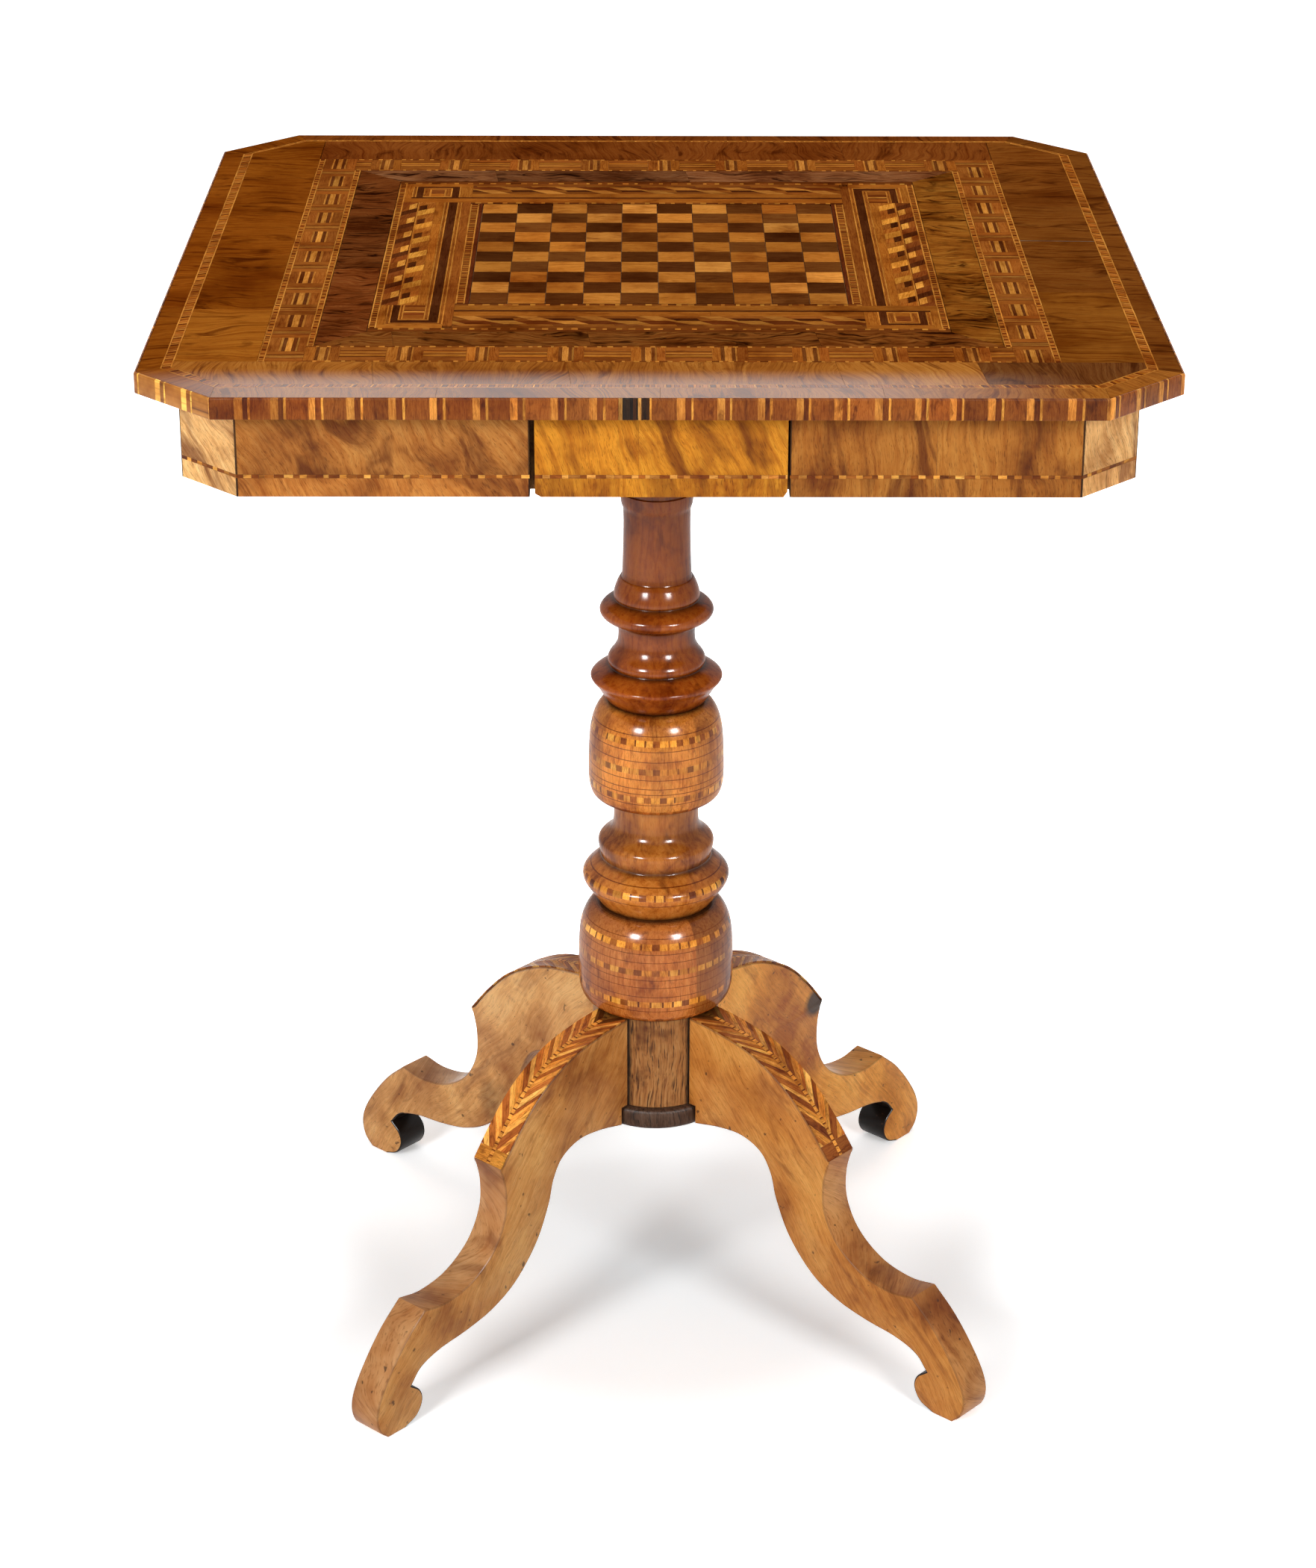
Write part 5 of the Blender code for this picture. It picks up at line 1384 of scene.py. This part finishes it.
def legCurves(setup):
    # each curve is a smooth run through its points; under the strip the hump sinks by the veneer's thickness
    root, step = setup["hubFlat"] + setup["gap"], setup["bossRadius"] + setup["gap"]
    run, rise = setup["reach"] - root, setup["hubTop"]
    curves = {}
    for key in ("hump", "shin", "toe", "scroll", "arch"):
        placed = [(root + run * r, rise * h) for r, h in setup[key]]
        if key == "arch":
            placed.append((step, rise * setup["archEnd"]))
        curves[key] = smoothRun(placed, 8)
    hump = curves["hump"]
    along = np.gradient(hump, axis=0)
    along /= np.linalg.norm(along, axis=1)[:, None]
    seat = hump + (setup["veneer"] + setup["gap"]) * np.column_stack([along[:, 1], -along[:, 0]])
    seat[0, 0] = root
    parts = [seat, curves["shin"], curves["toe"][1:], curves["scroll"], curves["arch"][1:],
             [(step, setup["hubBottom"]), (root, setup["hubBottom"])]]
    outline = np.vstack(parts)
    number = np.arange(len(outline))
    scroll = sum(len(part) for part in parts[:3])
    # darkened to near black inside the scroll; the thin lip at the knee stays sharp
    scrollDark = (number >= scroll) & (number < scroll + len(parts[3]) + setup["scrollDarkSteps"])
    keen = np.abs(number - len(seat)) <= 1
    kept = np.linalg.norm(outline - np.roll(outline, 1, axis=0), axis=1) > setup["shortest"]
    return hump, along, outline[kept], scrollDark[kept], keen[kept]


def legPiece(name, quarterName, setup):
    # the outline is carried across the leg; near both faces it draws in along a quarter circle
    hump, along, outline, scrollDark, keen = legCurves(setup)
    edge = np.roll(outline, -1, axis=0) - outline
    edge /= np.linalg.norm(edge, axis=1)[:, None]
    outward = np.column_stack([-edge[:, 1], edge[:, 0]])
    before = np.roll(outward, 1, axis=0)
    mitre = (outward + before) / np.maximum(1 + (outward * before).sum(axis=1), 0.5)[:, None]
    mitre[keen] = 0.0
    turn = np.linspace(0, pi / 2, 4)
    inset = setup["round"] * np.concatenate([1 - np.cos(turn[::-1]), 1 - np.cos(turn)])
    half = setup["thickness"] / 2
    offset = half - setup["round"] + setup["round"] * np.sin(turn)
    across = np.concatenate([-offset[::-1], offset])
    ring = outline - mitre * inset[:, None, None]
    angle = legAngles[quarterName] + baseTurn
    r, z = ring[..., 0], ring[..., 1]
    y = np.broadcast_to(across[:, None], r.shape)
    points = turnedRound(r, y, z, angle).reshape(-1, 3)
    count = len(outline)
    i, j = np.meshgrid(np.arange(len(across) - 1), np.arange(count), indexing="ij")
    here, there = i * count + j, i * count + (j + 1) % count
    quads = np.stack([here, there, there + count, here + count], axis=-1).reshape(-1, 4)
    caps = [list(range(count - 1, -1, -1)), list(range((len(across) - 1) * count, len(across) * count))]
    faces = quads.tolist() + caps
    order = np.array([corner for face in faces for corner in face])
    flatR, flatZ, flatY = r.ravel()[order], z.ravel()[order], y.ravel()[order]
    lean, onSide = setup["grainAngle"], len(quads) * 4
    runs = np.column_stack([flatR * cos(lean) + flatZ * sin(lean),
                            flatZ * cos(lean) - flatR * sin(lean) + setup["grainLean"] * flatY,
                            np.full(len(order), chance.uniform(0, sheetSetup["seedReach"]))])
    # the rounded arrises are darkened by painted shade
    worn = (inset > 0.0)[order // count] & (np.arange(len(order)) < onSide)
    tones = linear(setup["tones"][quarterName]) * np.where(worn, setup["arrisShade"], 1.0)[:, None]
    # the faces along the curve are greyed: a painted sheen
    tones[:onSide] *= setup["narrowFaceSheen"]
    # the faces inside the scroll are darkened to near black
    tones[:onSide][np.repeat(scrollDark[j.ravel()], 4)] = linear(setup["scrollDarkTone"])
    return meshPiece(name, points, faces, solidWalnut, tones, runs, sharpAngle=28)


stripSetup = {
    "tone": "#b0662e", "lift": {"front_left": 1.26},      # the front left leg's strip is painted paler: a painted highlight
    # half the ladder's width, and the last piece's length
    "middle": 0.0015, "slant": 0.0175, "plainEnd": 0.011,
    "tones": ["#f0b058", "#8a4a20", "#dc9646", "#a8622c", "#f6bd66", "#7c3f18", "#c8843a"],
    "endTones": {"front_right": "#8d5026", "back_right": "#9a5c2c", "back_left": "#a8672f",
                 "front_left": "#c98638"},
    "width": (0.0034, 0.0084), "widthFrom": 0.80, "widthGain": 0.7, "strengthFrom": 0.45, "strengthGain": 0.55,
    "grainLean": 0.55, "spread": 0.12, "endSpread": 0.05, "topDarkening": 0.22, "topDarkeningTo": 0.010,
    "rungWidths": (0.0034, 0.0009), "rungTones": ("#e09a48", "#7a3f17"),
    "clear": 0.0001, "narrowest": 0.0006, "shortest": 0.0003, "lastRung": 0.0012, "unevenness": 0.00005,
}


def herringboneStrip(name, quarterName, setup):
    # slanted strips on both sides of a ladder, laid along the hump by length and across it
    s = stripSetup
    hump, along = legCurves(setup)[:2]
    length = np.concatenate([[0], np.cumsum(np.linalg.norm(np.diff(hump, axis=0), axis=1))])
    normal = np.column_stack([-along[:, 1], along[:, 0]])
    angle = legAngles[quarterName] + baseTurn

    def place(u, v, h):
        # u runs down the hump, v across it and h stands out from it
        r = np.interp(u, length, hump[:, 0]) + h * np.interp(u, length, normal[:, 0])
        z = np.interp(u, length, hump[:, 1]) + h * np.interp(u, length, normal[:, 1])
        r = np.maximum(r, setup["hubFlat"] + setup["gap"])
        return turnedRound(r, v, z, angle)

    half, middle, slant, clear = setup["thickness"] / 2, s["middle"], s["slant"], s["clear"]
    total, finish = length[-1], length[-1] - s["plainEnd"]
    tiles = []
    for sign in (-1, 1):
        start, step = -slant, int(chance.integers(len(s["tones"])))
        while start < finish:
            # finer and browner at the top, broad and yellow at the knee
            down = np.clip(start / finish, 0, 1)
            width = chance.uniform(*s["width"]) * (s["widthFrom"] + s["widthGain"] * down)
            corners = [(start, sign * half), (start + slant, sign * middle),
                       (start + slant + width, sign * middle),
                       (start + width, sign * half)]
            corners = stripCut(corners, (1, 0), clear, finish)
            if len(corners) > 2 and np.ptp(corners[:, 0]) > s["narrowest"]:
                # the first centimetre at the top, under the drum, is darker
                topDarkening = s["topDarkening"] if corners[:, 0].mean() < s["topDarkeningTo"] else 1.0
                strength = s["strengthFrom"] + s["strengthGain"] * down
                tone = toned(s["tones"][step % len(s["tones"])], s["spread"]) * strength
                tone = (tone + linear(s["tone"]) * (1 - strength)) * topDarkening * s["lift"].get(quarterName, 1.0)
                tiles.append((corners, tone, -sign * s["grainLean"]))
            start, step = start + width, step + 1
        ends = sorted([sign * middle, sign * half])
        tiles.append(slip(finish, total - clear, *ends, s["endTones"][quarterName], pi / 2, s["endSpread"]))
    start, step = clear, 0
    while start < total - s["lastRung"]:
        width = s["rungWidths"][step % 2] * chance.uniform(*cutting["strip"])
        end = min(start + width, total - clear)
        topDarkening = s["topDarkening"] if start < s["topDarkeningTo"] else 1.0
        tone = toned(s["rungTones"][step % 2], s["spread"]) * topDarkening
        tiles.append((rectangle(start, end, -middle, middle), tone, pi / 2))
        start, step = end, step + 1
    tiles = [tile for tile in tiles if np.ptp(np.asarray(tile[0])[:, 0]) > s["shortest"]]
    return layTiles(name, tiles, place, -setup["veneer"], 0.0, stripedEdge, unevenness=s["unevenness"])


print("carving the legs")
for quarterName in legAngles:
    label = "".join(part.capitalize() for part in quarterName.split("_"))
    settle(legPiece("leg" + label, quarterName, legSetup), "table", "solid_walnut", "leg_" + quarterName)
    settle(herringboneStrip("legVeneer" + label, quarterName, legSetup), "table", "herringbone_marquetry",
           "leg_veneer_" + quarterName)

# Unseen work: the CAD's own solids, in plain woods. Pine is left from the plane, pale and dusty
paleLook = {
    "bendMm": (150, 12), "lift": (1.20, 1.25, 1.30), "streakMm": (180, 3.2), "poreMm": (12, 0.6),
    "figureMm": (220, 12),
    "swirl": 0.5, "streakStops": [(0.28, "#b99472"), (0.50, "#eadbc8"), (0.72, "#ffffff")],
    "poreTone": "#8c6a4a", "poreDepth": 0.4,
    "figureFrom": 0.48, "figureDepth": 0.7, "figureTone": "#a77b55",
    "patchMm": 70, "patchStops": [(0.30, "#8c7561"), (0.5, "#e6dacd"), (0.68, "#ffffff")],
    "bump": 0.5, "roughness": 0.62, "gloss": 0.25,
}
across = (0.0, 0.0, radians(90))
planedPine = woodMaterial("planedPine", {**paleLook, "grainTurn": (0.0, 0.0, 0.0), "tone": "#a4774a"})
planedPineDeep = woodMaterial("planedPineDeep", {**paleLook, "grainTurn": across, "tone": "#99703f"})
drawerLining = woodMaterial("drawerLining", {**paleLook, "grainTurn": across, "tone": "#b58a57", "patchMm": 50})

ironSetup = {
    "noiseScale": 900.0, "detail": 4.0, "stops": [(0.42, "#4a4541"), (0.60, "#5e3a26")], "metallic": 0.8,
    "rustFrom": 0.35, "rustTo": 0.65, "smooth": 0.45, "rough": 0.8, "bump": 0.4, "reliefHeight": 0.0002,
}


def ironMaterial(name, look):
    # hand-filed iron gone brown: dull metal with rust in patches
    material, tree = emptyMaterial(name)
    place = addNode(tree, "TexCoord", {}).outputs["Object"]
    rust = addNode(tree, "TexNoise", {"Scale": look["noiseScale"], "Detail": look["detail"]},
                   {"Vector": place}).outputs["Fac"]
    colour = addNode(tree, "ValToRGB", {"stops": look["stops"]}, {0: rust}).outputs[0]
    rough = addNode(tree, "MapRange", {"From Min": look["rustFrom"], "From Max": look["rustTo"],
                    "To Min": look["smooth"], "To Max": look["rough"]}, {"Value": rust}).outputs[0]
    bump = addNode(tree, "Bump", {"Strength": look["bump"], "Distance": look["reliefHeight"]},
                   {"Height": rust}).outputs[0]
    shader = addNode(tree, "BsdfPrincipled", {"Metallic": look["metallic"]},
                     {"Base Color": colour, "Roughness": rough, "Normal": bump})
    addNode(tree, "OutputMaterial", {}, {"Surface": shader.outputs[0]})
    return material


rustedIron = ironMaterial("rustedIron", ironSetup)
plainNodes = (
    (planedPine, ("top_plank_front", "top_plank_middle", "top_plank_back", "drawer_stop", "column_block",
                  "dowel_upper", "dowel_lower", "drawer_back")),
    (planedPineDeep, ("glue_block_left", "glue_block_right", "drawer_runner_left", "drawer_runner_right")),
    (drawerLining, ("drawer_left_side", "drawer_right_side", "drawer_bottom")),
    (rustedIron, ("block_screw_front_left", "block_screw_front_right", "block_screw_back_left",
                  "block_screw_back_right")),
)
for material, nodeNames in plainNodes:
    for nodeName in nodeNames:
        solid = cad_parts[nodeName]
        solid.data.materials.clear()
        solid.data.materials.append(material)
print("plain woods and iron done")

# Floor and light: a plain pale floor, a pale room, three soft lamps, and two that only shine in the polish
studioSetup = {
    "floorHalf": 12.0, "floorColour": "#eeeeee", "floorSeen": (1.42, 1.47, 1.50),
    "clearFrom": 0.15, "clearTo": 0.50,      # how far from the middle the floor starts to glow, and glows in full
    "roomColour": "#ffffff", "roomStrength": 0.22, "aim": (0.0, 0.0, 0.5),
    # place, size in metres, power in watts, and whether it lights the wood or only shines in the polish
    "lamps": [
        ("leftLamp", (-1.80, -2.40, 1.70), 1.0, 61.0, True),
        ("rightLamp", (1.75, -2.50, 1.80), 1.0, 43.0, True),
        ("topLamp", (0.0, 0.3, 2.6), 1.3, 24.0, True),
        ("leftGlint", (-1.5, -2.2, 1.75), 0.60, 150.0, False),
        ("rightGlint", (1.5, -2.2, 1.75), 0.60, 135.0, False)],
}


def seenDirectly(tree):
    # 1 for the camera's own rays, reflected and let through, and 0 for light that falls on something
    ray = addNode(tree, "LightPath", {}).outputs
    direct = ray["Is Camera Ray"]
    for kind in ("Is Glossy Ray", "Is Transmission Ray"):
        direct = addNode(tree, "Math", {"operation": "MAXIMUM"}, {0: direct, 1: ray[kind]}).outputs[0]
    return direct


def buildStudio(setup):
    # a square floor that glows white past a ring round the table, a room of one brightness, and aimed lamps
    half = setup["floorHalf"]
    mesh = bpy.data.meshes.new("floor")
    mesh.from_pydata([(-half, -half, 0), (half, -half, 0), (half, half, 0), (-half, half, 0)], [], [(0, 1, 2, 3)])
    floor = bpy.data.objects.new("floor", mesh)
    bpy.context.collection.objects.link(floor)
    material, tree = emptyMaterial("paleFloor")
    direct = seenDirectly(tree)
    place = addNode(tree, "TexCoord", {}).outputs["Object"]
    away = addNode(tree, "VectorMath", {"operation": "LENGTH"}, {0: place}).outputs["Value"]
    far = addNode(tree, "MapRange", {"From Min": setup["clearFrom"], "From Max": setup["clearTo"]},
                  {"Value": away}).outputs[0]
    lift = addNode(tree, "Math", {"operation": "MULTIPLY"}, {0: direct, 1: far}).outputs[0]
    paper = (*linear(setup["floorColour"]), 1.0)
    bright = (*setup["floorSeen"], 1.0)      # seen directly, the paper is exposed to white
    seenColour = addNode(tree, "Mix", {"data_type": "RGBA", 6: paper, 7: bright}, {0: direct}).outputs[2]
    paint = addNode(tree, "BsdfDiffuse", {}, {"Color": seenColour})
    glow = addNode(tree, "Emission", {"Color": (1, 1, 1, 1)}, {"Strength": lift})
    both = addNode(tree, "AddShader", {}, {0: paint.outputs[0], 1: glow.outputs[0]})
    addNode(tree, "OutputMaterial", {}, {"Surface": both.outputs[0]})
    mesh.materials.append(material)

    room = bpy.data.worlds.new("paleRoom")
    room.use_nodes = True
    tree = room.node_tree
    tree.nodes.clear()
    strength = addNode(tree, "MapRange", {"To Min": setup["roomStrength"], "To Max": 1.0},
                       {"Value": seenDirectly(tree)}).outputs[0]
    glow = addNode(tree, "Background", {"Color": (*linear(setup["roomColour"]), 1.0)}, {"Strength": strength})
    addNode(tree, "OutputWorld", {}, {"Surface": glow.outputs[0]})
    bpy.context.scene.world = room

    for name, place, size, power, lights in setup["lamps"]:
        lamp = bpy.data.lights.new(name, "AREA")
        lamp.shape = "SQUARE"
        lamp.size = size
        lamp.energy = power
        holder = bpy.data.objects.new(name, lamp)
        holder.visible_diffuse, holder.visible_glossy = lights, not lights
        holder.location = place
        toTable = Vector(setup["aim"]) - Vector(place)
        holder.rotation_euler = toTable.to_track_quat("-Z", "Y").to_euler()
        bpy.context.collection.objects.link(holder)


buildStudio(studioSetup)
print("floor and lamps set")
